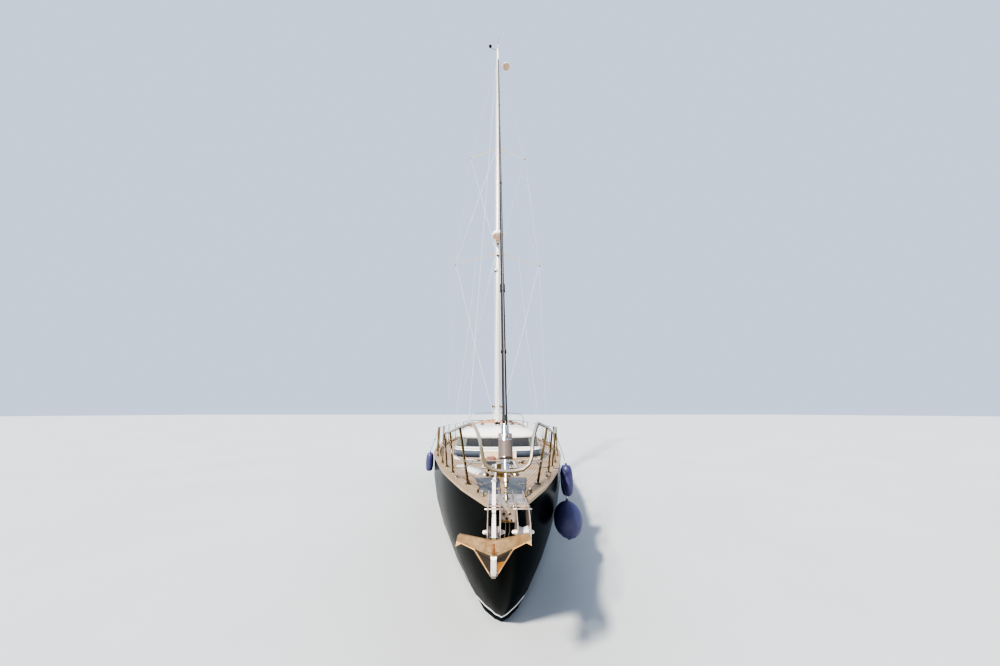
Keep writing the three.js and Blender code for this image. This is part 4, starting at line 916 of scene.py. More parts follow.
class Shape:
    """Gathers the faces of one piece, in millimetres; each way of adding some returns the shape."""

    def __init__(self) -> None:
        """Starts with nothing."""
        self.mesh = bmesh.new()

    def skin(self, rings: list[list[Vector]], loop: bool = False) -> "Shape":
        """Joins rings of points.

        Args:
            rings: Rings with the same number of points each.
            loop: Whether the last ring joins the first.

        Returns:
            The shape.
        """
        made = [[self.mesh.verts.new(p) for p in ring] for ring in rings]
        for one, two in list(zip(made, made[1:])) + ([(made[-1], made[0])] if loop else []):
            for i in range(len(one)):
                j = (i + 1) % len(one)
                self.mesh.faces.new((one[i], one[j], two[j], two[i]))
        if not loop:
            self.mesh.faces.new(list(reversed(made[0])))
            self.mesh.faces.new(made[-1])
        return self

    def tube(
        self, path: list[Place], radius: float | list[float], sides: int = 10, loop: bool = False,
        flat: float = 1.0,
    ) -> "Shape":
        """Sweeps a round bar along a path.

        Args:
            path: The points it follows.
            radius: Its radius, or one for each point.
            sides: Corners of its section.
            loop: Whether it closes on itself.
            flat: Height of the section over its width.

        Returns:
            The shape.
        """
        points = [Vector(p) for p in path]
        count = len(points)
        radii = radius if isinstance(radius, list) else [radius] * count
        rings, side = [], None
        for i, p in enumerate(points):
            before = points[(i - 1) % count] if loop or i else p
            after = points[(i + 1) % count] if loop or i < count - 1 else p
            ahead, fresh, _ = square(after - before, AFT)
            side = fresh if side is None else side
            side = (side - ahead * side.dot(ahead)).normalized()
            rise = side.cross(ahead)
            rings.append([
                p + side * math.cos(a) * radii[i] + rise * math.sin(a) * radii[i] * flat
                for a in around(sides)
            ])
        return self.skin(rings, loop)

    def hoop(self, centre: Place, axis: Place, across: float, bar: float, long: float = 1.0) -> "Shape":
        """Bends a bar into a closed ring or link.

        Args:
            centre: Its middle.
            axis: The direction that it is seen round from.
            across: Its radius to the bar's middle.
            bar: The bar's radius.
            long: Its length along its first side over its width.

        Returns:
            The shape.
        """
        _, side, rise = square(axis, AFT)
        path = [
            Vector(centre) + side * (across * math.cos(a)) + rise * (across * long * math.sin(a))
            for a in around(16)
        ]
        return self.tube(path, bar, 8, loop=True)

    def turned(
        self, base: Place, axis: Place, profile: list[tuple[float, float]], sides: int = 20
    ) -> "Shape":
        """Turns a profile round an axis.

        Args:
            base: The point on the axis at height 0.
            axis: The axis' direction.
            profile: Height and radius pairs, from one end to the other.
            sides: Corners of its section.

        Returns:
            The shape.
        """
        ahead, side, rise = square(axis, PORT)
        return self.skin([
            [Vector(base) + ahead * h + (side * math.cos(a) + rise * math.sin(a)) * max(r, 0.1)
             for a in around(sides)]
            for h, r in profile
        ])

    def block(self, centre: Place, size: Point, turn: Matrix | None = None) -> "Shape":
        """Adds a six-sided bar or pad.

        Args:
            centre: Its middle.
            size: Its full size along each axis before it is turned.
            turn: Its rotation about its middle.

        Returns:
            The shape.
        """
        x, y, z = (s / 2 for s in size)
        corners = [(-x, -y), (x, -y), (x, y), (-x, y)]
        spin = turn or Matrix.Identity(3)
        return self.skin([[Vector(centre) + spin @ Vector((a, b, h)) for a, b in corners] for h in (-z, z)])

    def slab(self, grid: list[list[Vector]], step: Place) -> "Shape":
        """Gives a curved sheet a thickness.

        Args:
            grid: Rows of points on its face.
            step: The way from the face to the back.

        Returns:
            The shape.
        """
        made = [[[self.mesh.verts.new(p + Vector(step) * k) for p in row] for row in grid] for k in (0, 1)]
        rows, columns = len(grid), len(grid[0])
        for face in made:
            for one, two in zip(face, face[1:]):
                for j in range(columns - 1):
                    self.mesh.faces.new((one[j], one[j + 1], two[j + 1], two[j]))
        rim = [(0, j) for j in range(columns)]
        rim += [(i, columns - 1) for i in range(1, rows)]
        rim += [(rows - 1, j) for j in range(columns - 2, -1, -1)]
        rim += [(i, 0) for i in range(rows - 2, 0, -1)]
        for (a, b), (c, d) in zip(rim, rim[1:] + rim[:1]):
            self.mesh.faces.new((made[0][a][b], made[0][c][d], made[1][c][d], made[1][a][b]))
        return self


class Yard:
    """What every sub-assembly can do: measure the frame and hang pieces on it."""

    trees: ClassVar[dict[str, BVHTree]] = {}
    made: ClassVar[dict[Look, bpy.types.Material]] = {}
    count: ClassVar[int] = 0

    def paint(self, look: Look) -> bpy.types.Material:
        """Looks a finish's material up and makes it the first time.

        Args:
            look: The finish.

        Returns:
            The material.
        """
        if look not in self.made:
            self.made[look] = FINISHES[look].build()
        return self.made[look]

    def stand(self, shape: bmesh.types.BMesh, name: str, look: Look, crease: float) -> bpy.types.Object:
        """Stands faces in the scene as an object that is shaded smooth.

        Args:
            shape: The faces, in metres.
            name: The object's name.
            look: Its finish.
            crease: Angle in degrees above which an edge stays sharp.

        Returns:
            The object.
        """
        mesh = bpy.data.meshes.new(name)
        shape.to_mesh(mesh)
        shape.free()
        mesh.materials.append(self.paint(look))
        mesh.polygons.foreach_set("use_smooth", [True] * len(mesh.polygons))
        mesh.set_sharp_from_angle(angle=math.radians(crease))
        thing = bpy.data.objects.new(name, mesh)
        bpy.context.scene.collection.objects.link(thing)
        Yard.count += 1
        return thing

    def dress(self) -> None:
        """Gives every CAD node its material."""
        for row in frame["record"]["subparts"]:
            name = row["node"]
            look = NODE_LOOKS.get(name, Look(row["material_slot"]))
            mesh = frame["nodes"][name].data
            mesh.materials.clear()
            mesh.materials.append(self.paint(look))
            LOG.info("dressed %s in %s", name, look.value)
            if name in ROUNDED:
                self.refine(name, look)

    def refine(self, name: str, look: Look) -> None:
        """Shows a node by a copy of its own shape whose round forms are shaded smooth.

        Args:
            name: The CAD node's name.
            look: Its finish.
        """
        node = frame["nodes"][name]
        shape = bmesh.new()
        for vertex in node.data.vertices:
            shape.verts.new(vertex.co)
        shape.verts.ensure_lookup_table()
        for face in node.data.polygons:
            shape.faces.new([shape.verts[i] for i in face.vertices])
        bmesh.ops.remove_doubles(shape, verts=shape.verts, dist=WELD_M)
        skin = self.stand(shape, name + "_skin", look, SKIN_CREASE)
        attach(skin, node["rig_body"])
        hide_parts(name)

    def meet(self, node: str, start: Point, ahead: Point) -> Vector | None:
        """Finds where a ray meets a node.

        Args:
            node: The CAD node's name.
            start: Where the ray starts, in millimetres.
            ahead: Where it goes.

        Returns:
            The first point that it meets, in millimetres, if there is one.
        """
        if node not in self.trees:
            mesh = frame["nodes"][node].data
            self.trees[node] = BVHTree.FromPolygons(
                [v.co * 1000 for v in mesh.vertices], [p.vertices for p in mesh.polygons]
            )
        return self.trees[node].ray_cast(Vector(start), Vector(ahead).normalized())[0]

    def cast(self, node: str, start: Point, ahead: Point = AFT) -> Vector:
        """Finds where a ray meets a node that it has to meet.

        Args:
            node: The CAD node's name.
            start: Where the ray starts, in millimetres.
            ahead: Where it goes.

        Returns:
            The first point that it meets.
        """
        hit = self.meet(node, start, ahead)
        if hit is None:
            raise ValueError(f"nothing of {node} ahead of {tuple(start)}")
        return hit

    def top(self, node: str, x: float, y: float, above: float = 3000) -> Vector:
        """The point on a node's top at that place, looking down from above."""
        return self.cast(node, (x, y, above), DOWN)

    def edge(self, y: float) -> float:
        """Measures the cap rail by rays from the side, from above its top downwards.

        Args:
            y: The place along the boat.

        Returns:
            Half the width over the rails.
        """
        high, low, step, below = 1800, 1250, 4, 16
        for height in range(high, low, -step):
            hit = self.meet("cap_rail", (3000, y, height), STARBOARD)
            if hit is not None:
                return (self.meet("cap_rail", (3000, y, height - below), STARBOARD) or hit).x
        raise ValueError(f"no rail at {y}")

    def on_rail(self, y: float, side: int, inboard: float = 72.5) -> Vector:
        """The point on top of the cap rail, some way in from its outer edge."""
        return self.top("cap_rail", side * (self.edge(y) - inboard), y)

    def drape(
        self, node: str, ahead: Point, grid: list[list[Point]], lift: float
    ) -> list[list[Vector]]:
        """Lays a grid of points on a node.

        Args:
            node: The CAD node's name.
            ahead: The way that the points fall.
            grid: Rows of starting points.
            lift: How far the face stands off the node.

        Returns:
            Rows of points of the face.
        """
        back = Vector(ahead).normalized() * -lift
        return [[self.cast(node, p, ahead) + back for p in row] for row in grid]

    def panel(self, node: str, ahead: Point, grid: list[list[Point]], thick: float) -> Shape:
        """Makes a panel that follows a node's surface.

        Args:
            node: The CAD node's name.
            ahead: The way from outside to the node.
            grid: Rows of starting points.
            thick: How far it stands off the node.

        Returns:
            The shape.
        """
        step = Vector(ahead).normalized() * (thick + SUNK)
        return Shape().slab(self.drape(node, ahead, grid, thick), step)

    def hang(
        self, shape: Shape, name: str, look: Look = Look.STAINLESS, edge: float = 0, body: str = "boat"
    ) -> None:
        """Turns a shape into a piece on a body.

        Args:
            shape: Its faces.
            name: The piece's name.
            look: Its finish.
            edge: Width of its rounded edges, in millimetres.
            body: The CAD body that carries it.
        """
        bmesh.ops.scale(shape.mesh, vec=(0.001, 0.001, 0.001), verts=shape.mesh.verts)
        bmesh.ops.recalc_face_normals(shape.mesh, faces=shape.mesh.faces)
        piece = self.stand(shape.mesh, name, look, CREASE)
        if edge:
            rounded = piece.modifiers.new("rounded", "BEVEL")
            rounded.width = edge / 1000
            rounded.segments = 2
            rounded.limit_method = "ANGLE"
            rounded.angle_limit = math.radians(ROUNDED_ABOVE)
        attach(piece, body)
        LOG.info("made %s on %s", name, body)


def cleat(shape: Shape, foot: Vector, ahead: Vector) -> None:
    """Adds a two-horned mooring cleat to a shape.

    Args:
        shape: Where its faces go.
        foot: The middle of its base.
        ahead: The way its horns point.
    """
    long = 200
    way = Vector((ahead.x, ahead.y, 0)).normalized()
    for sign in (-1, 1):
        post = foot + way * (sign * long * 0.17)
        shape.turned(post, UP, [(0, 17), (4, 17), (9, 9), (34, 8)], 12)
    rise = Vector((0, 0, 38))
    horns = ((-0.5, 9), (-0.36, 3), (-0.17, 0), (0, 0), (0.17, 0), (0.36, 3), (0.5, 9))
    path = [foot + way * (long * s) + rise + Vector((0, 0, h)) for s, h in horns]
    shape.tube(path, [5, 8, 10, 10, 10, 8, 5], 10)


@dataclass
class StemWork(Yard):
    """What is bolted to the stem fitting: roller bolts, pins, plate holes and rods."""

    channels: tuple[float, float] = (105, -95)
    half: float = 50
    roller: tuple[float, float] = (-7240, 1612)
    keeper: tuple[float, float] = (-7150, 1744)
    front_pin: tuple[float, float] = (-7245, 1752)
    plate_y: float = -7345
    holes: tuple[tuple[float, float], ...] = ((-22, 1672), (24, 1672), (2, 1642))

    def build(self) -> None:
        """Makes the pieces."""
        self.bolts()
        self.plate()
        self.rods()

    def bolts(self) -> None:
        """Puts domed bolt heads on the roller pins and nuts on the keeper pins."""
        y, z = self.roller
        heads = Shape()
        for centre in self.channels:
            for side in (-1, 1):
                face = centre + side * self.half
                heads.turned((face, y, z), (side, 0, 0), [(-2, 13), (3, 13), (3, 9), (12, 9)], 12)
                dome = [(0, 11), (6, 12), (12, 9), (15, 3)]
                heads.turned((face + side * 12, y, z), (side, 0, 0), dome, 14)
        self.hang(heads, "roller_bolt_heads", Look.GALVANISED)
        y, z = self.keeper
        nuts = Shape()
        for centre in self.channels:
            for side in (-1, 1):
                at = (centre + side * self.half, y, z)
                nuts.turned(at, (side, 0, 0), [(-1, 9), (6, 9), (6, 5), (11, 5), (12, 3)], 6)
        self.hang(nuts, "keeper_pin_nuts", edge=0.6)
        pins = Shape()
        for centre in self.channels:
            path = [(centre + dx, *self.front_pin) for dx in (-66, -62, 62, 66)]
            pins.tube(path, [3, 5, 5, 3], 10)
        self.hang(pins, "front_keeper_pins", Look.PLATE)
        ring = Shape().hoop((162, y - 4, z - 34), (1, 0.25, 0), 34, 1.6)
        ring.hoop((160, y + 4, z - 4), AFT, 7, 1.4)
        self.hang(ring, "keeper_ring")

    def plate(self) -> None:
        """Rims the holes of the plate between the channels, darkens them with black discs as painted shade,
        and bolts the plate on.
        """
        rims, wells = Shape(), Shape()
        for x, z in self.holes:
            face = self.cast("stem_fitting", (x, self.plate_y - 200, z))
            rims.hoop((x, face.y - 1, z), AFT, 9, 2)
            # Painted shade: black discs in the holes stand for the dark seen through them.
            wells.turned((x, face.y - 1.2, z), AFT, [(0, 7.6), (2, 7.6)], 14)
        self.hang(rims, "stem_plate_rims")
        self.hang(wells, "stem_plate_hole_shade", Look.RUBBER)
        bolts = Shape()
        for x in (-34, 36):
            for z in (1634, 1716):
                face = self.cast("stem_fitting", (x, self.plate_y - 200, z))
                bolts.turned((x, face.y + 1, z), FORE, [(0, 6), (5, 6), (6, 4)], 6)
        self.hang(bolts, "stem_plate_bolts", edge=0.5)

    def rods(self) -> None:
        """Runs two thin rods down the stem from a bronze lip under the plate."""
        rods = Shape()
        lip = self.cast("stem_fitting", (2, self.plate_y - 200, 1640))
        bar = Shape().block((2, lip.y - 2, 1625), (78, 8, 9))
        self.hang(bar, "stem_plate_lip", Look.BRONZE, 2)
        for x in (-8, 22):
            top = self.cast("stem_fitting", (x, self.plate_y - 200, 1640))
            foot = self.cast("hull", (x, self.plate_y - 200, 1440))
            path = [(top.y + 8, 1624), (top.y + 8, 1560), (foot.y - 6, 1452), (foot.y + 6, 1436)]
            rods.tube([(x, *p) for p in path], 3.5, 10)
            rods.turned((x, foot.y - 6, 1462), (0, 0.2, -1), [(0, 5), (2, 8), (16, 8), (18, 5)], 6)
        self.hang(rods, "stem_rods")


@dataclass
class AnchorGear(Yard):
    """The shackle on the anchor, its chain over the deck and the windlass's drums and switches."""

    shank_end: Point = (-95, -6850, 1852)
    windlass_y: float = -5160
    link: float = 15
    bar: float = 4.2

    def build(self) -> None:
        """Makes the pieces."""
        self.chain()
        self.windlass()

    def chain(self) -> None:
        """Leads galvanised links from the shank's shackle to the windlass."""
        x, y, z = self.shank_end
        shackle = Shape().hoop((x, y + 22, z - 6), PORT, 20, 6, 0.8)
        shackle.tube([(x - 22, y + 6, z - 8), (x + 22, y + 6, z - 8)], 6, 10)
        self.hang(shackle, "anchor_shackle", Look.GALVANISED)
        deck = self.top("deck", x, -6350, 2000).z
        far = self.cast("windlass", (-60, self.windlass_y - 600, deck + 95), AFT)
        path = [
            Vector((x, y + 40, z - 16)), Vector((x, -6640, deck + 120)),
            Vector((x + 4, -6440, deck + 26)), Vector((x + 10, -6000, deck + 30)),
            Vector((x + 22, -5600, deck + 40)), Vector((x + 30, far.y - 8, far.z)),
        ]
        links = Shape()
        step = self.link * 1.75
        turn = 0
        for start, end in zip(path, path[1:]):
            way = end - start
            count = max(1, round(way.length / step))
            for i in range(count):
                middle = start + way * ((i + 0.5) / count)
                ahead = way.normalized()
                side = ahead.cross(Vector(UP)).normalized()
                axis = side if turn % 2 else ahead.cross(side)
                links.hoop(middle, axis, self.link * 0.62, self.bar, 1.55)
                turn += 1
        self.hang(links, "anchor_chain", Look.GALVANISED)

    def windlass(self) -> None:
        """Adds the windlass's drums, its foot switches and the filler caps beside it."""
        low, high = (v * 1000 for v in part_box("windlass"))
        middle = (low + high) / 2
        drums = Shape()
        for side in (-1, 1):
            end = middle.x + side * (high.x - low.x) / 2
            drums.turned(
                (end - side * 4, middle.y, middle.z + 12), (side, 0, 0),
                [(0, 30), (4, 52), (10, 54), (16, 36), (34, 33), (48, 46), (54, 48), (58, 30)], 24,
            )
            for a in around(6):
                drums.block(
                    (end + side * 20, middle.y + 36 * math.cos(a), middle.z + 12 + 36 * math.sin(a)),
                    (26, 5, 5), Matrix.Rotation(a, 3, "X"),
                )
        self.hang(drums, "windlass_drums", edge=0.8)
        switches = Shape()
        for x in (150, 235):
            deck = self.top("deck", x, middle.y + 250, 2000)
            switches.turned(deck, UP, [(-1, 40), (5, 40), (8, 34), (8, 30), (16, 26), (19, 10)], 24)
        self.hang(switches, "foot_switches", Look.RUBBER)
        caps = Shape()
        for x in (-210, 205):
            deck = self.top("deck", x, middle.y, 2000)
            caps.turned(deck, UP, [(-1, 62), (4, 62), (10, 50), (30, 46), (36, 40), (38, 10)], 28)
            grip = [(x + dx, middle.y, deck.z + dz) for dx, dz in ((-30, 36), (0, 50), (30, 36))]
            caps.tube(grip, 4, 8)
        self.hang(caps, "deck_filler_caps")


@dataclass
class Foredeck(Yard):
    """The lids' hinges and rings, the hatch's frame, the moulding and the vents."""

    lid: tuple[float, float] = (-6350, -5400)
    hatch: tuple[float, float, float] = (-4350, -3750, 300)
    moulding: tuple[tuple[float, float], ...] = (
        (-760, -3980), (-590, -3930), (-395, -4420), (-250, -4960), (-318, -5080), (-480, -4700),
    )

    def build(self) -> None:
        """Makes the pieces."""
        self.lids()
        self.hatch_frame()
        self.moulded()
        self.vents()

    def lids(self) -> None:
        """Hinges each anchor locker lid and lets a lifting ring into it."""
        for name, side in SIDES.items():
            node = "anchor_locker_lid_" + name
            body = "anchor_lid_" + name
            hardware = Shape()
            for y in (self.lid[0] + 200, self.lid[1] - 200):
                at = self.top(node, side * 52, y, 2000)
                hardware.block((at.x, at.y, at.z + 1.6), (34, 72, 3))
                hardware.tube([(side * 33, y - 34, at.z + 3), (side * 33, y + 34, at.z + 3)], 4.5, 10)
                for dy in (-24, 0, 24):
                    hardware.turned((at.x + side * 6, y + dy, at.z + 3), UP, [(0, 4), (1.6, 3)], 8)
            at = self.top(node, side * 225, (self.lid[0] + self.lid[1]) / 2, 2000)
            hardware.turned(at, UP, [(-1, 34), (2, 34), (3, 31), (1.2, 29), (1.0, 2)], 26)
            hardware.hoop((at.x, at.y, at.z + 5), (0.2, 0, 1), 22, 3)
            self.hang(hardware, "lid_hinges_and_ring_" + name, edge=0.5, body=body)
            ribs = Shape()
            for x in (110, 165, 220):
                start = -6270 + (x - 110) * 2.2
                grid = [[(side * (x + dx), y, 2000) for dx in (-7, 7)] for y in spread(start, -5480, 8)]
                ribs.slab(self.drape(node, DOWN, grid, 2.2), (0, 0, -3))
            self.hang(ribs, "lid_tread_ribs_" + name, Look.LID, body=body)

    def hatch_frame(self) -> None:
        """Frames the foredeck hatch, with its hinges and handles."""
        fore, aft, half = self.hatch
        rings = []
        for inset, rise in ((2, 1), (20, 7), (38, 1)):
            x, low, high = half - inset, fore + inset, aft - inset
            z = self.top("foredeck_hatch", x * 0.98, low, 2000).z + rise
            rings.append([Vector(p) for p in ((x, low, z), (x, high, z), (-x, high, z), (-x, low, z))])
        rings += [[p - Vector((0, 0, 3)) for p in rings[k]] for k in (2, 0)]
        rim = Shape().skin(rings, loop=True)
        self.hang(rim, "foredeck_hatch_frame", Look.ALUMINIUM, 1.5, body="deck_hatch")
        hardware = Shape()
        for x in (-200, 200):
            at = self.top("foredeck_hatch", x, aft - 24, 2000)
            hardware.block((x, aft - 16, at.z + 7), (58, 34, 8))
            hardware.tube([(x - 32, aft - 2, at.z + 6), (x + 32, aft - 2, at.z + 6)], 6, 10)
            grip = self.top("foredeck_hatch", x, fore + 70, 2000)
            hardware.turned(grip, UP, [(0, 18), (8, 18), (10, 12)], 20)
            hardware.tube([(x - 34, fore + 70, grip.z + 12), (x + 34, fore + 70, grip.z + 12)], 5, 8)
        self.hang(hardware, "foredeck_hatch_hardware", edge=0.8, body="deck_hatch")

    def moulded(self) -> None:
        """Lays the low white moulding beside the windlass."""
        rings = []
        centre = [sum(values) / len(values) for values in zip(*self.moulding)]
        for inset, rise in ((0, -2), (2, 22), (16, 34), (40, 36)):
            ring = []
            for x, y in self.moulding:
                away = Vector((x - centre[0], y - centre[1], 0))
                at = Vector((x, y, 0)) - away.normalized() * inset
                deck = self.top("deck", at.x, at.y, 2000).z
                ring.append(Vector((at.x, at.y, deck + rise)))
            rings.append(ring)
        self.hang(Shape().skin(rings), "foredeck_moulding", Look.GELCOAT, 4)

    def vents(self) -> None:
        """Stands mushroom vents on the foredeck."""
        caps = Shape()
        for x, y in ((430, -3600), (-430, -3480)):
            deck = self.top("deck", x, y, 2000)
            cap = [(-1, 60), (4, 60), (8, 42), (34, 40), (36, 74), (44, 78), (58, 60), (66, 20)]
            caps.turned(deck, UP, cap, 30)
        self.hang(caps, "mushroom_vents", edge=0.8)


@dataclass
class RailWork(Yard):
    """The feet and braces of the rails, the stanchions' caps, the cleats and the fairleads."""

    pulpit_feet: tuple[float, ...] = (-6210, -5330, -4620)
    stanchions: tuple[float, ...] = (-4050, -2700, -1350, 0, 1350, 2700, 3950)
    pushpit_feet: tuple[float, ...] = (5250, 6050)

    def build(self) -> None:
        """Makes the pieces."""
        self.feet()
        self.braces()
        self.fittings()
        self.cleats()

    def feet(self) -> None:
        """Puts a flange and a collar at each foot on the cap rail."""
        feet, sockets = Shape(), Shape()
        for side in SIDES.values():
            places = [self.on_rail(y, side, 109.5) for y in self.pulpit_feet]
            places += [self.on_rail(y, side) for y in self.stanchions + self.pushpit_feet]
            for at in places:
                feet.turned(at, UP, [(-1, 34), (4, 34), (6, 31), (6, 20), (28, 17), (30, 15)], 24)
                for k in range(4):
                    a = math.pi * (0.25 + k / 2)
                    spot = at + Vector((26 * math.cos(a), 26 * math.sin(a), 5))
                    sockets.turned(spot, UP, [(0, 4), (2, 3.4), (2.6, 1)], 8)
        self.hang(feet, "rail_feet", edge=0.7)
        self.hang(sockets, "rail_foot_screws")

    def braces(self) -> None:
        """Braces the pulpit's legs to each other and to its middle rail."""
        braces = Shape()
        for side in SIDES.values():
            leg = ((637, -5345, 1690), (512, -5820, 1770), (384, -6297, 1850))
            middle = ((385, -6302, 1864), (332, -6550, 1925), (277, -6795, 1985))
            for path, radius in ((leg, 8), (middle, 7)):
                braces.tube([(side * x, y, z) for x, y, z in path], radius, 10)
        self.hang(braces, "pulpit_braces")

    def fittings(self) -> None:
        """Caps the stanchions and shackles the wires to the pulpit."""
        caps = Shape()
        for name, side in SIDES.items():
            for y in self.stanchions:
                at = self.on_rail(y, side)
                hit = self.meet("lifeline_" + name, (at.x, y, 3000), DOWN)
                if hit is not None:
                    caps.turned((at.x, y, hit.z - 10), UP, [(0, 14), (10, 14), (16, 9), (18, 3)], 14)
                    caps.turned((at.x, y, at.z + 292), UP, [(0, 13.4), (3, 15), (15, 15), (18, 13.4)], 14)
            for x, y, z in ((830, -5000, 2100), (827, -4855, 1870)):
                caps.turned((side * x, y - 6, z), AFT, [(0, 15), (6, 17), (40, 10), (90, 6), (94, 4)], 12)
        self.hang(caps, "stanchion_caps_and_screws", edge=0.6)

    def cleats(self) -> None:
        """Bolts mooring cleats along the rail, with fairleads beside the bow ones."""
        horns, leads = Shape(), Shape()
        for side in SIDES.values():
            for y in (-5750, -150, 6350):
                at = self.on_rail(y, side, 78)
                ahead = self.on_rail(y + 60, side, 78) - self.on_rail(y - 60, side, 78)
                cleat(horns, at, ahead)
            at = self.on_rail(-6700, side, 70)
            ahead = self.on_rail(-6650, side, 70) - self.on_rail(-6750, side, 70)
            way = ahead.normalized()
            for sign in (-1, 1):
                foot = at + way * (70 * sign)
                bend = foot + Vector((0, 0, 32)) - way * (4 * sign)
                leads.tube([foot, bend, foot + Vector((0, 0, 40)) - way * (34 * sign)], [11, 10, 7], 10)
            rise = Vector((0, 0, 4))
            leads.tube([at - way * 86 + rise, at + way * 86 + rise], 9, 8, flat=0.6)
        self.hang(horns, "mooring_cleats", edge=0.6)
        self.hang(leads, "bow_fairleads")


@dataclass
class TrunkWork(Yard):
    """What is fixed to the low trunk ahead of the deckhouse."""

    buff: tuple[float, float] = (-350, 350)
    box: tuple[float, float] = (-245, -72)

    def build(self) -> None:
        """Makes the pieces."""
        self.face()
        self.sill()
        self.step()
        self.rails()

    def face(self) -> None:
        """Paints the trunk's face buff between and under its windows."""
        middle = [[(x, -3600, z) for x in spread(*self.buff, 12)] for z in spread(1448, 1594, 4)]
        self.hang(self.panel("trunk", AFT, middle, 3), "trunk_buff_panel", Look.BUFF, 1)
        for name, side in SIDES.items():
            x0, x1 = sorted((side * 352, side * 372))
            bar = [[(x, -3600, z) for x in (x0, x1)] for z in spread(1448, 1594, 3)]
            self.hang(self.panel("trunk", AFT, bar, 6), "trunk_panel_frame_" + name, Look.GELCOAT, 1)
        ledge = [[(x, -3600, z) for x in spread(-860, 860, 26)] for z in (1438, 1446, 1456)]
        self.hang(self.panel("trunk", AFT, ledge, 14), "trunk_teak_ledge", Look.CAP, 2)

    def sill(self) -> None:
        """Runs the white moulding round the trunk's top edge."""
        path = []
        for angle in spread(-88, 88, 36):
            a = math.radians(angle)
            start = (1500 * math.sin(a), -2350 - 1500 * math.cos(a), 1604)
            path.append(self.cast("trunk", start, (-math.sin(a), math.cos(a), 0)))
        for side in SIDES.values():
            starts = [(side * 1600, y, 1604) for y in spread(-2200, 2200, 12)]
            more = [self.cast("trunk", start, (-side, 0, 0)) for start in starts]
            path = more[::-1] + path if side < 0 else path + more
        self.hang(Shape().tube(path, 9, 10), "trunk_top_moulding", Look.GELCOAT)

    def step(self) -> None:
        """Stands the low brown locker at the trunk's foot, with slats on its face."""
        x0, x1 = self.box
        foot = self.cast("trunk", ((x0 + x1) / 2, -3600, 1470), AFT)
        deck = self.top("deck", (x0 + x1) / 2, foot.y - 90, 2000).z
        middle = ((x0 + x1) / 2, foot.y - 42, (deck + 1492) / 2)
        box = Shape().block(middle, (x1 - x0, 92, 1492 - deck + 4))
        self.hang(box, "trunk_foot_locker", Look.MAHOGANY, 4)
        slats = Shape()
        for z in spread(deck + 16, 1478, 3):
            slats.block((middle[0], foot.y - 90, z), (x1 - x0 - 24, 6, 9))
        self.hang(slats, "trunk_foot_locker_slats", Look.MAHOGANY, 2)

    def rails(self) -> None:
        """Fixes varnished grab rails along the trunk's top."""
        for name, side in SIDES.items():
            bar = Shape()
            path = []
            for y in spread(-1200, 1600, 10):
                at = self.top("trunk", side * 1052, y, 1800)
                path.append((at.x, y, at.z + 46))
            bar.tube(path, 14, 10, flat=0.8)
            for y in spread(-1200, 1600, 4):
                at = self.top("trunk", side * 1052, y, 1800)
                bar.turned(at, UP, [(-1, 26), (4, 24), (16, 13), (40, 12)], 14)
            self.hang(bar, "trunk_grab_rail_" + name, Look.VARNISH, 1)


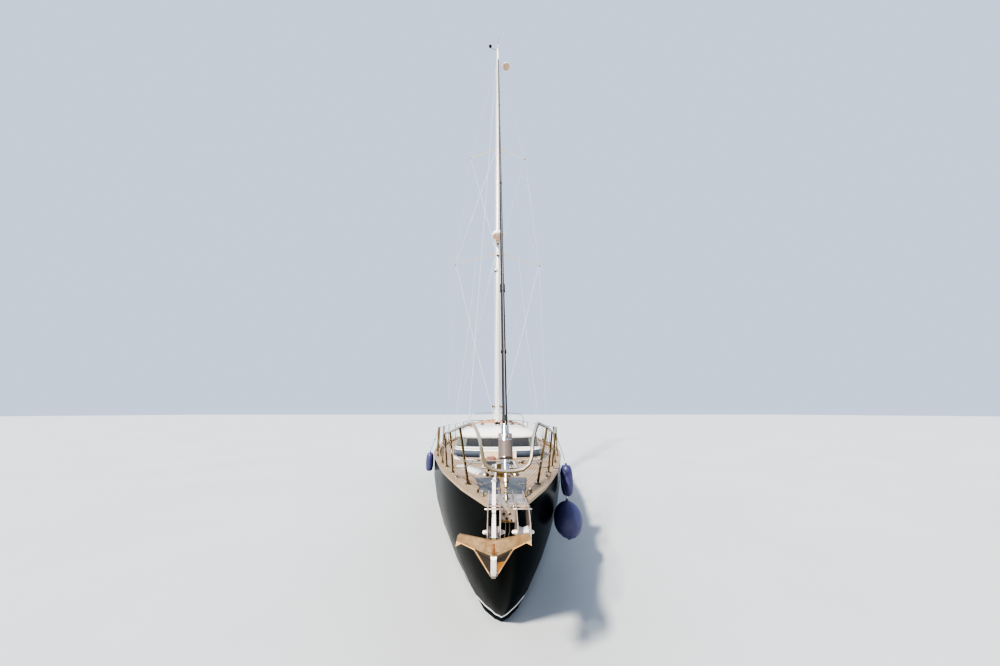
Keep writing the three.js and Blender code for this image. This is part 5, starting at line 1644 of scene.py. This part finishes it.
@dataclass
class HouseWork(Yard):
    """What is fixed to the deckhouse and its roof."""

    mullions: tuple[float, ...] = (-720, -165, 165, 720)
    board_y: float = 560
    board_sweep: float = 420
    board_half: float = 900
    board_high: float = 44

    def build(self) -> None:
        """Makes the pieces."""
        self.screen()
        self.side_bars()
        self.breakwater()
        self.roof()
        self.hatch()
        self.door()

    def screen(self) -> None:
        """Sets black rubber mullions over the windscreen and a white sill under it."""
        for number, x in enumerate(self.mullions):
            half = 7 if abs(x) > 400 else 12
            lean = 26 * (1 if x > 0 else -1) if abs(x) > 400 else 0
            grid = [
                [(x + dx - lean * (z - 1728) / 94, -3400, z) for dx in (-half, half)]
                for z in spread(1637, 1819, 6)
            ]
            bar = self.panel("windscreen", AFT, grid, 7)
            self.hang(bar, f"windscreen_mullion_{number}", Look.RUBBER, 1.5)
        grid = [[(x, -3400, z) for x in spread(-800, 800, 30)] for z in (1622, 1632)]
        self.hang(self.panel("deckhouse", AFT, grid, 8), "windscreen_sill", Look.GELCOAT, 2)

    def side_bars(self) -> None:
        """Divides the deckhouse's side windows."""
        for name, side in SIDES.items():
            bars = Shape()
            for y in (-1300, -420, 460):
                grid = [[(side * 1600, y + dy, z) for dy in (-16, 16)] for z in spread(1637, 1819, 4)]
                face = self.drape("side_window_" + name, (-side, 0, 0), grid, 6)
                bars.slab(face, (-side * 7, 0, 0))
            self.hang(bars, "side_window_bars_" + name, Look.GELCOAT, 1.5)

    def breakwater(self) -> None:
        """Bends the varnished board across the roof, ahead of the sliding hatch."""
        rings = []
        for x in spread(-self.board_half, self.board_half, 32):
            y = self.board_y + self.board_sweep * (x / self.board_half) ** 2
            low = self.top("deckhouse_roof", x, y).z - 1
            ring = [(y, low), (y + 22, low), (y + 22, low + self.board_high), (y, low + self.board_high)]
            rings.append([Vector((x, b, c)) for b, c in ring])
        self.hang(Shape().skin(rings), "roof_breakwater", Look.VARNISH, 5)

    def roof(self) -> None:
        """Fixes the roof's grab rails and vents and the feet of the sprayhood's hoop."""
        for name, side in SIDES.items():
            bar = Shape()
            places = [self.top("deckhouse_roof", side * 700, y) for y in spread(-1900, 200, 10)]
            bar.tube([(p.x, p.y, p.z + 40) for p in places], 14, 10, flat=0.8)
            for at in places[::2]:
                bar.turned(at, UP, [(-1, 26), (4, 24), (14, 13), (36, 12)], 14)
            self.hang(bar, "roof_grab_rail_" + name, Look.VARNISH, 1)
        vents = Shape()
        for x, y in ((-430, -900), (430, -900)):
            at = self.top("deckhouse_roof", x, y)
            cap = [(-3, 56), (6, 56), (10, 40), (26, 38), (28, 66), (36, 68), (46, 40), (50, 8)]
            vents.turned(at, UP, cap, 28)
        self.hang(vents, "roof_vents")
        feet = Shape()
        for side in SIDES.values():
            at = self.top("trunk", side * 1060, 1950, 1900)
            feet.block((at.x, 1950, at.z + 4), (70, 60, 8))
            feet.turned((at.x, 1950, at.z + 6), UP, [(0, 18), (26, 16), (28, 12)], 16)
        self.hang(feet, "hoop_feet", edge=1)

    def hatch(self) -> None:
        """Gives the sliding hatch its handle and tread strips."""
        handle = Shape()
        for y in (2180, 2240):
            foot = self.top("companionway_hatch", -110, y)
            for x in (-110, 110):
                handle.turned((x, y, foot.z), UP, [(-1, 12), (4, 12), (6, 7)], 12)
        z = self.top("companionway_hatch", 0, 2210).z
        grip = ((-110, 2), (-96, 26), (96, 26), (110, 2))
        handle.tube([(x, 2210, z + rise) for x, rise in grip], 6, 10)
        self.hang(handle, "hatch_handle", edge=0.5, body="sliding_hatch")
        ribs = Shape()
        for x in spread(-270, 270, 3):
            grid = [[(x + dx, y, 2600) for dx in (-22, 22)] for y in spread(1490, 2130, 6)]
            ribs.slab(self.drape("companionway_hatch", DOWN, grid, 3), (0, 0, -4))
        self.hang(ribs, "hatch_tread_strips", Look.SLATS, body="sliding_hatch")

    def door(self) -> None:
        """Gives the door its louvres and lock."""
        slats = Shape()
        for z in spread(1500, 1800, 10):
            at = self.cast("companionway_door", (0, 2700, z), FORE)
            slats.block((0, at.y + 3, z), (360, 10, 16), Matrix.Rotation(-0.5, 3, "X"))
        self.hang(slats, "door_louvres", Look.VARNISH, 1, body="cabin_door")
        lock = Shape()
        at = self.cast("companionway_door", (-270, 2700, 1650), FORE)
        lock.block((at.x, at.y + 2, at.z), (34, 5, 110))
        lock.tube([(at.x + dx, at.y + dy, at.z) for dx, dy in ((0, 4), (0, 34), (60, 34))], 7, 10)
        self.hang(lock, "door_lock", edge=0.8, body="cabin_door")


@dataclass
class FurlerWork(Yard):
    """The furler's guard cheeks, flanges and foil joints, which turn with it, and its fixed pins."""

    foot: Point = (0, -7050, 1745)
    head: Point = (0, -1530, 16250)
    guard: tuple[float, ...] = (2172, 2190, 2208, 2222)
    outer: float = 60

    def at(self, z: float) -> Vector:
        """The point on the stay at that height."""
        share = (z - self.foot[2]) / (self.head[2] - self.foot[2])
        return Vector(self.foot).lerp(Vector(self.head), share)

    def build(self) -> None:
        """Makes the pieces."""
        way = Vector(self.head) - Vector(self.foot)
        cheeks, flanges = Shape(), Shape()
        angles = [math.radians(angle) for angle in spread(-64, 64, 12)]
        for side in SIDES.values():
            curve = [Vector((side * math.cos(a), math.sin(a), 0)) * self.outer for a in angles]
            cheeks.slab([[self.at(z) + out for out in curve] for z in self.guard], (-side * 7, 0, 0))
        self.hang(cheeks, "furler_guard_cheeks", Look.COMPOSITE, 1, body="furling_gear")
        for z, wide, high in ((2030, 61, 7), (2171, 61, 6), (2286, 25, 8), (1992, 40, 6)):
            rim = [(0, wide - 2), (1, wide), (high - 1, wide), (high, wide - 2)]
            flanges.turned(self.at(z), way, rim, 36)
        self.hang(flanges, "furler_flanges", body="furling_gear")
        tube = Shape()
        for z in (2320, 6400, 10600, 14800):
            tube.turned(self.at(z), way, [(0, 23), (2, 25), (52, 25), (54, 23)], 16)
        self.hang(tube, "foil_joints", Look.RUBBER, body="furling_gear")
        link = Shape()
        _, y, z = self.foot
        for dz in (20, 60):
            link.tube([(-26, y + 10, z + dz), (26, y + 10, z + dz)], 6, 10)
            link.hoop((28, y + 10, z + dz), PORT, 7, 1.6)
        self.hang(link, "toggle_pins")


@dataclass
class MastWork(Yard):
    """What is fixed to the mast."""

    y: float = -1415
    fore: float = 100
    half: float = 70
    lamps: tuple[tuple[float, float], ...] = ((0, 7650), (0, 7230), (-62, 6700))

    def build(self) -> None:
        """Makes the pieces."""
        self.track()
        self.front()
        self.winches()
        self.halyards()
        self.collars()

    def track(self) -> None:
        """Runs the sail track up the mast's back."""
        back, middle = self.y + self.fore, (3150 + 16600) / 2
        bar = Shape().block((0, back + 4, middle), (30, 12, 13450))
        bar.block((0, back + 12, middle), (16, 5, 13450))
        self.hang(bar, "mast_track", Look.ALUMINIUM, 1.5)

    def front(self) -> None:
        """Fixes the lamps to the mast's front."""
        shells, lenses = Shape(), Shape()
        for x, z in self.lamps:
            face = self.cast("mast", (x, -3000, z), AFT)
            shells.turned((x, face.y + 6, z), FORE, [(0, 40), (34, 46), (60, 50), (78, 44)], 24)
            lenses.turned((x, face.y - 74, z), FORE, [(0, 42), (8, 40), (16, 26), (19, 6)], 24)
        self.hang(shells, "mast_lamp_shells", Look.RUBBER)
        self.hang(lenses, "mast_lamp_lenses", Look.PLASTIC)

    def winches(self) -> None:
        """Bolts halyard winches and cleats to the mast's sides."""
        drums, horns = Shape(), Shape()
        for side in SIDES.values():
            at = self.cast("mast", (side * 400, self.y - 10, 2560), (-side, 0, 0))
            drum = [(-2, 52), (8, 52), (12, 36), (40, 32), (62, 36), (66, 42), (74, 42), (78, 20)]
            drums.turned(at, (side, 0, 0), drum, 28)
            for z in (2300, 2400):
                foot = self.cast("mast", (side * 400, self.y - 40, z), (-side, 0, 0))
                horns.turned(foot, (side, 0, 0), [(-1, 11), (22, 8)], 10)
                path = [foot + Vector((side * 24, 0, d)) for d in (-60, -24, 24, 60)]
                horns.tube(path, [3, 7, 7, 3], 8)
        self.hang(drums, "mast_winches", edge=0.6)
        self.hang(horns, "mast_cleats", Look.ALUMINIUM)

    def halyards(self) -> None:
        """Leads the halyards down beside the mast, with their blocks at its foot."""
        for name, look, low, x, y in (
            ("main", Look.BLUE_ROPE, (44, -1554, 2150), 40, -1540),
            ("jib", Look.ROPE, (-37.4, -1559, 2150), -34, -1545),
            ("lift", Look.ROPE, (92, -1455, 2400), 86, -1470),
            ("spare", Look.BLUE_ROPE, (-92, -1455, 2400), -88, -1475),
        ):
            rope = Shape().tube([low, (x, y, 4200), (x, y, 9000), (x * 0.9, y + 12, 16200)], 5.5, 8)
            self.hang(rope, f"halyard_{name}", look)
        blocks = Shape()
        for side in SIDES.values():
            sheave = [(0, 30), (4, 34), (9, 27), (14, 34), (18, 30)]
            blocks.turned((side * 44 - 9, -1556, 2120), PORT, sheave, 22)
            blocks.block((side * 44, -1556, 2096), (26, 20, 60))
        self.hang(blocks, "mast_foot_blocks", edge=0.8)

    def collar(self, steps: list[tuple[float, float]]) -> Shape:
        """Makes a sleeve round the oval mast.

        Args:
            steps: Pairs of a height and of how far it stands off the mast there.

        Returns:
            The shape.
        """
        return Shape().skin([
            [Vector((math.cos(a) * (self.half + off), self.y + math.sin(a) * (self.fore + off), z))
             for a in around(36)]
            for z, off in steps
        ])

    def collars(self) -> None:
        """Collars the mast's foot and its spreader roots, and dresses its head."""
        boot = self.collar([(2056, 26), (2066, 26), (2076, 8), (2150, 4), (2156, 1)])
        self.hang(boot, "mast_boot", Look.RUBBER)
        for z in (7377, 11739):
            band = self.collar([(z - 90, 2), (z - 86, 5), (z + 86, 5), (z + 90, 2)])
            self.hang(band, f"spreader_band_{z}", Look.ALUMINIUM)
        head = Shape()
        for y in (-1530, -1300):
            head.turned((-13, y, 16860), PORT, [(0, 36), (5, 40), (13, 32), (21, 40), (26, 36)], 26)
        self.hang(head, "masthead_sheaves")
        lamp = [(-2, 30), (10, 30), (12, 26), (60, 27), (64, 30), (78, 24), (82, 6)]
        self.hang(Shape().turned((0, -1500, 16905), UP, lamp, 22), "masthead_light", Look.PLASTIC)
        vane = Shape().block((0, -1335, 17215), (3, 190, 40))
        vane.tube([(0, -1515, 17215), (0, -1240, 17215)], 4, 8)
        vane.turned((0, -1415, 16905), UP, [(0, 9), (250, 5), (318, 4)], 10)
        self.hang(vane, "wind_vane", Look.RUBBER)


@dataclass
class RigWork(Yard):
    """Turnbuckles, boots and cross wires of the rigging, flag halyards and the tied-off halyard."""

    plates: tuple[tuple[float, float, float, float, float], ...] = (
        (1490, -615, 1471, -622, 7377), (1390, -650, 70, -1440, 7300),
    )
    lower_root: Point = (64, -1432, 7440)
    tied: tuple[Point, Point] = ((-46, -1440, 16760), (-800, -1250, 3000))
    lower_tip: Point = (1471, -622, 7377)
    upper_tip: Point = (1033, -945, 11739)

    def build(self) -> None:
        """Makes the pieces."""
        screws, boots = Shape(), Shape()
        for side in SIDES.values():
            for x, y, to_x, to_y, to_z in self.plates:
                foot = Vector((side * x, y, 1430))
                way = (Vector((side * to_x, to_y, to_z)) - foot).normalized()
                screw = [(20, 6), (22, 15), (60, 15), (64, 10), (90, 10), (94, 14), (230, 14)]
                screw += [(234, 10), (270, 9), (274, 7), (350, 7), (354, 4)]
                screws.turned(foot, way, screw, 14)
            for x, y, z in (self.lower_tip, self.upper_tip):
                boots.turned((side * x, y, z - 46), UP, [(0, 8), (20, 20), (46, 27), (72, 20), (92, 8)], 18)
        self.hang(screws, "turnbuckles", edge=0.5)
        self.hang(boots, "spreader_boots", Look.COMPOSITE)
        for name, side in SIDES.items():
            tip, root = ((side * x, y, z) for x, y, z in (self.upper_tip, self.lower_root))
            wire = Shape().tube([tip, root], 4, 8)
            wire.turned(root, Vector(tip) - Vector(root), [(0, 8), (90, 8), (96, 5)], 10)
            self.hang(wire, "cross_wire_" + name, Look.WIRE)
            to_rail = ((720, -1010, 7340), (950, -880, 4600), (1330, -725, 1480))
            to_mast = ((1440, -640, 7340), (760, -1030, 4650), (96, -1430, 2310))
            lines = Shape()
            for path, radius in ((to_rail, 3), (to_mast, 4)):
                lines.tube([(side * x, y, z) for x, y, z in path], radius, 6)
            self.hang(lines, "flag_halyards_" + name, Look.ROPE)
        head, above = self.tied
        foot = self.top("deckhouse_roof", *above)
        spare = Shape().tube([head, foot + Vector((0, 0, 24))], 4.5, 8)
        spare.hoop(foot + Vector((0, 0, 16)), PORT, 14, 4)
        self.hang(spare, "tied_off_halyard", Look.ROPE)
        stern = Shape()
        for side in SIDES.values():
            foot = Vector((side * 1010, 6700, 1400))
            way = (Vector((0, 5220, 4300)) - foot).normalized()
            screw = [(10, 6), (12, 15), (50, 15), (54, 10), (80, 14), (210, 14), (214, 8), (290, 7)]
            stern.turned(foot, way, screw, 14)
        stern.turned((0, 5200, 4260), (0, -0.45, 1), [(0, 10), (10, 24), (60, 24), (70, 12), (110, 8)], 16)
        self.hang(stern, "backstay_turnbuckles", edge=0.5)


@dataclass
class BoomWork(Yard):
    """What swings with the boom."""

    fore: float = -1235
    aft: float = 3700
    z: float = 2850
    high: float = 75

    def build(self) -> None:
        """Makes the pieces."""
        middle, long = (self.fore + self.aft) / 2, self.aft - self.fore
        track = Shape().block((0, middle, self.z + self.high + 3), (26, long - 200, 10))
        self.hang(track, "boom_track", Look.ALUMINIUM, 1, body="main_boom")
        metal = Shape()
        for y, wide in ((self.fore + 34, 24), (self.aft - 6, 36)):
            metal.skin([
                [Vector((math.cos(a) * (46 + off), y + d, self.z + math.sin(a) * (self.high + off)))
                 for a in around(30)]
                for d, off in ((-wide, 1), (-wide, 4), (wide, 4), (wide, 1))
            ])
        low = self.z - self.high
        for y in (600, 1900, 3200):
            metal.hoop((0, y, low - 16), AFT, 17, 4)
            metal.block((0, y, low - 2), (40, 60, 8))
        sheave = [(0, 24), (4, 28), (11, 22), (18, 28), (22, 24)]
        metal.turned((-11, self.aft + 34, self.z + 18), PORT, sheave, 22)
        self.hang(metal, "boom_fittings", edge=0.6, body="main_boom")
        path = [(32, self.fore + 200, low - 2), (36, 400, low - 6), (34, 2200, low - 4)]
        rope = Shape().tube(path + [(20, self.aft - 60, low + 2)], 5, 8)
        self.hang(rope, "boom_outhaul", Look.BLUE_ROPE, body="main_boom")
        ends = Shape()
        for y, z in ((-1190, 2262), (-170, 2738)):
            ends.turned((0, y, z), (0, 1020, 476), [(-60, 20), (-54, 24), (40, 24), (48, 18)], 18)
        self.hang(ends, "vang_ends", Look.COMPOSITE, body="main_boom")


@dataclass
class CockpitWork(Yard):
    """Teak, winches, compass, controls and blank instruments in the cockpit."""

    seat: float = 980
    sole: float = 600
    ends: tuple[float, float] = (2450, 5300)
    lid: tuple[float, float, float, float] = (500, 1100, 2910, 4290)
    coaming: tuple[float, float, float] = (2340, 5440, 1500)
    winch: Point = (1245, 3600, 1500)
    binnacle: Point = (0, 4430, 1580)
    wheel_y: float = 4620

    def build(self) -> None:
        """Makes the pieces."""
        self.teak()
        self.caps()
        self.winches()
        self.helm()
        self.controls()

    def teak(self) -> None:
        """Lays slats on the seats, the lids and the sole."""
        x0, x1, y0, y1 = self.lid
        fore, aft = self.ends
        middle = (y0 + y1) / 2
        for name, side in SIDES.items():
            slats = Shape()
            for low, high in ((fore, y0), (y1, aft)):
                slats.block((side * 775, (low + high) / 2, self.seat + 6), (730, high - low - 24, 13))
            slats.block((side * 449, middle, self.seat + 6), (82, y1 - y0, 13))
            self.hang(slats, "seat_slats_" + name, Look.SLATS, 3)
            body = "locker_lid_" + name
            pad = Shape().block((side * (x0 + x1) / 2, middle, 1005), (x1 - x0 - 24, y1 - y0 - 24, 11))
            self.hang(pad, "locker_lid_slats_" + name, Look.SLATS, 3, body=body)
            ring = Shape().turned((side * 560, middle, 1010), UP, [(0, 28), (3, 28), (4, 22), (2, 20)], 24)
            self.hang(ring, "locker_lid_pull_" + name, edge=0.5, body=body)
        grating = Shape()
        for x in spread(-330, 330, 11):
            grating.block((x, (fore + 5000) / 2, self.sole + 11), (36, 2440, 20))
        for y in spread(fore + 60, 4940, 22):
            grating.block((0, y, self.sole + 7), (720, 34, 12))
        self.hang(grating, "sole_grating", Look.SLATS)

    def caps(self) -> None:
        """Caps the coamings with teak."""
        fore, aft, top = self.coaming
        across = ((1158, 4), (1166, 15), (1245, 18), (1322, 15), (1331, 4))
        for name, side in SIDES.items():
            grid = [[Vector((side * x, y, top + h)) for x, h in across] for y in spread(fore, aft, 16)]
            self.hang(Shape().slab(grid, (0, 0, -3)), "coaming_cap_" + name, Look.CAP)

    def winches(self) -> None:
        """Gives each winch its ribbed drum, self-tailing jaws and base ring."""
        x, y, z = self.winch
        for name, side in SIDES.items():
            grip = [(12, 60), (14, 78), (22, 78), (26, 73.5), (60, 73), (66, 74), (118, 74), (126, 79)]
            jaws = [(132, 79), (134, 73), (142, 73), (144, 79), (150, 78)]
            crown = [(160, 73.5), (166.5, 60), (168, 20)]
            drum = Shape().turned((side * x, y, z), UP, grip + jaws + crown, 40)
            for a in around(14):
                at = (side * x + 74 * math.cos(a), y + 74 * math.sin(a), z + 88)
                drum.block(at, (6, 9, 54), Matrix.Rotation(a, 3, "Z"))
            drum.turned((side * x, y, z + 166), UP, [(0, 26), (4, 26), (6, 16), (3, 14)], 8)
            self.hang(drum, "winch_drum_" + name, edge=0.5)

    def helm(self) -> None:
        """Wraps the wheel, tops the pedestal with a compass and guards it."""
        low, high = (v * 1000 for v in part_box("steering_wheel"))
        centre = (low + high) / 2
        rim = (high.x - low.x) / 2 - 14
        turn = [(rim * math.cos(a), rim * math.sin(a)) for a in around(64)]
        path = [(centre.x + dx, self.wheel_y, centre.z + dz) for dx, dz in turn]
        cover = Shape().tube(path, 15.6, 12, loop=True)
        self.hang(cover, "wheel_leather", Look.LEATHER, body="helm_wheel")
        knot = Shape()
        for k in range(3):
            ends = (0.02 + k * 0.03, 0.035 + k * 0.03)
            turn = [(rim * math.sin(a), rim * math.cos(a)) for a in ends]
            knot.tube([(centre.x + dx, self.wheel_y, centre.z + dz) for dx, dz in turn], 18, 14)
        self.hang(knot, "wheel_king_knot", Look.ROPE, body="helm_wheel")
        x, y, z = self.binnacle
        bowl = Shape().turned((x, y, z - 4), UP, [(0, 84), (12, 88), (40, 84), (52, 78), (56, 70)], 32)
        self.hang(bowl, "compass_bowl", Look.RUBBER)
        dome = Shape().turned((x, y, z + 50), UP, [(0, 69), (20, 64), (40, 50), (54, 30), (60, 8)], 32)
        self.hang(dome, "compass_dome", Look.GLASS)
        half = [(-150, 4330, 612), (-150, 4326, 1480), (-120, 4322, 1560)]
        loop = half + [(0, 4320, 1590)] + [(-x, y, z) for x, y, z in reversed(half)]
        self.hang(Shape().tube(loop, 12.5, 12), "pedestal_guard")

    def controls(self) -> None:
        """Adds the engine lever, blank instruments, the traveller and the rope clutches."""
        lever = Shape().turned((70, 4440, 1430), PORT, [(-6, 34), (14, 34), (22, 20), (34, 16)], 20)
        lever.tube([(98, 4440, 1430), (102, 4420, 1500), (104, 4402, 1560)], [8, 7, 9], 10)
        lever.turned((104, 4402, 1556), (0, -0.3, 1), [(0, 10), (8, 15), (20, 15), (28, 8)], 14)
        self.hang(lever, "engine_lever", edge=0.6)
        cases, faces = Shape(), Shape()
        for x in (-560, -430, 430, 560):
            at = self.cast("trunk", (x, 2900, 1480), FORE)
            cases.block((x, at.y + 8, at.z), (112, 18, 112))
            faces.turned((x, at.y + 15, at.z), AFT, [(0, 42), (3, 42), (4, 38)], 28)
        self.hang(cases, "instrument_cases", Look.RUBBER, 3)
        self.hang(faces, "instrument_faces", Look.GLASS)
        bar = Shape().block((0, 5390, 1306), (900, 34, 16))
        bar.block((0, 5390, 1326), (110, 52, 28))
        self.hang(bar, "traveller", Look.ALUMINIUM, 2)
        clutch = Shape()
        for x in (-620, -570, -520, 520, 570, 620):
            at = self.top("deckhouse_roof", x, 2120)
            clutch.block((x, 2120, at.z + 20), (40, 140, 44))
            clutch.block((x, 2080, at.z + 46), (26, 96, 12), Matrix.Rotation(0.12, 3, "X"))
        self.hang(clutch, "rope_clutches", Look.COMPOSITE, 3)


@dataclass
class SternWork(Yard):
    """Treads on the ladder, the stern light and the transom's vents."""

    rungs: tuple[int, int, int] = (900, 1740, 6)

    def build(self) -> None:
        """Makes the pieces, with a tread wherever rays from astern meet a rung."""
        treads, last = Shape(), 0
        for z in range(*self.rungs):
            hit = self.meet("stern_ladder", (0, 7400, z), FORE)
            if hit is not None and z - last > 60:
                last = z + 9
                treads.block((0, hit.y - 10, last), (330, 40, 14))
        self.hang(treads, "ladder_treads", Look.SLATS, 2, body="swim_ladder")
        light = Shape().turned((330, 6718, 1990), (0, 0.2, 1), [(0, 20), (8, 24), (40, 24), (48, 10)], 18)
        self.hang(light, "stern_light", Look.PLASTIC)
        vents = Shape()
        for side in SIDES.values():
            at = self.cast("hull", (side * 620, 7600, 700), FORE)
            vents.turned(at, AFT, [(-2, 46), (5, 46), (8, 36), (4, 30), (3, 4)], 26)
        self.hang(vents, "transom_vents", edge=0.6)


@dataclass
class FenderWork(Yard):
    """The moulded feet of the fenders and the knots in their lanyards."""

    fenders: tuple[tuple[str, float, float, float], ...] = (
        ("fender_round_port", 205, 686, 1185), ("fender_long_port", 105, 1056, 1560),
        ("fender_starboard", 92, 1026, 1470),
    )

    def build(self) -> None:
        """Makes the pieces."""
        for node, radius, low, high in self.fenders:
            corner, far = (v * 1000 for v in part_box(node))
            x = corner.x + radius if node == "fender_round_port" else far.x - radius
            y = (corner.y + far.y) / 2
            base = self.cast(node, (x, y, low - 200), UP).z
            foot = Shape().turned((x, y, base + 2), DOWN, [(0, 30), (4, 26), (10, 22), (14, 8)], 20)
            self.hang(foot, node + "_foot", Look.VINYL)
            knots = Shape()
            for k in range(3):
                knots.hoop((x, y, high + 8 + k * 11), (0.3 * (k - 1), 0.2, 1), 10, 6)
            self.hang(knots, node + "_knot", Look.ROPE)


@dataclass
class Underbody(Yard):
    """The anodes on the shaft and on the hull."""

    shaft: Point = (0, 2420, -490)

    def build(self) -> None:
        """Makes the pieces."""
        way = Vector((0, math.cos(0.14), -math.sin(0.14)))
        at = Vector(self.shaft) + way * 560
        collar = Shape().turned(at, way, [(0, 20), (6, 36), (50, 36), (56, 20)], 24)
        self.hang(collar, "shaft_anode", Look.ZINC, body="screw")
        plates = Shape()
        for side in SIDES.values():
            hit = self.cast("hull", (side * 1600, 2000, -330), (-side, 0, 0))
            plates.block(hit + Vector((side * 6, 0, 0)), (26, 220, 70))
        self.hang(plates, "hull_anodes", Look.ZINC, 6)


@dataclass
class Studio:
    """The camera, the floor at the waterline and the soft light."""

    eye: Point = (-0.10, -9.45, 2.40)
    rise: float = 15.8
    turn: float = 1.23
    lens: float = 10.08
    floor_half: float = 300.0
    sky_strength: float = 1.1
    sun_strength: float = 6.4
    sun_width: float = 4
    sun_warmth: Point = (1.0, 0.95, 0.87)
    sun_tilt: tuple[float, float] = (44, -34)

    def build(self) -> None:
        """Sets up everything that isn't part of the yacht."""
        camera = bpy.data.cameras.new("camera")
        camera.lens = self.lens
        camera.sensor_width = 36.0
        camera.clip_end = 1000.0
        seen = bpy.data.objects.new("camera", camera)
        seen.location = self.eye
        seen.rotation_euler = (math.radians(90 + self.rise), 0.0, math.radians(-self.turn))
        bpy.context.scene.collection.objects.link(seen)
        bpy.context.scene.camera = seen
        self.lay_floor()
        self.light()

    def lay_floor(self) -> None:
        """Lays the plain pale floor at the waterline."""
        board = Board("matt_paint")
        tone = board.lay("#cbccca", (board.grain(4000), "#c6c8c6"))
        board.shade(Base_Color=tone, Roughness=0.8)
        half = self.floor_half
        mesh = bpy.data.meshes.new("floor")
        corners = [(-half, -half, 0), (half, -half, 0), (half, half, 0), (-half, half, 0)]
        mesh.from_pydata(corners, [], [(0, 1, 2, 3)])
        mesh.materials.append(board.material)
        floor = bpy.data.objects.new("floor", mesh)
        bpy.context.scene.collection.objects.link(floor)

    def light(self) -> None:
        """Hangs a wide soft key light to starboard and fills the rest from all round."""
        bpy.context.scene.view_settings.look = "AgX - High Contrast"
        world = bpy.data.worlds.new("studio")
        bpy.context.scene.world = world
        world.use_nodes = True
        sky = world.node_tree.nodes["Background"]
        sky.inputs[0].default_value = linear("#c6d3ea")
        sky.inputs[1].default_value = self.sky_strength
        key = bpy.data.lights.new("key", "SUN")
        key.energy = self.sun_strength
        key.angle = math.radians(self.sun_width)
        key.color = self.sun_warmth
        lamp = bpy.data.objects.new("key", key)
        lamp.rotation_euler = (*(math.radians(angle) for angle in self.sun_tilt), 0)
        bpy.context.scene.collection.objects.link(lamp)


def main() -> None:
    """Builds the yacht's looks in order and reports each piece."""
    logging.basicConfig(level=logging.INFO, format="%(message)s")
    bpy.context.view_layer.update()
    Yard().dress()
    for part in (
        Studio(), StemWork(), AnchorGear(), Foredeck(), RailWork(), TrunkWork(), HouseWork(),
        FurlerWork(), MastWork(), RigWork(), BoomWork(), CockpitWork(), SternWork(),
        FenderWork(), Underbody(),
    ):
        before = Yard.count
        part.build()
        LOG.info("%s: %d pieces", type(part).__name__, Yard.count - before)


if __name__ == "__main__":
    main()
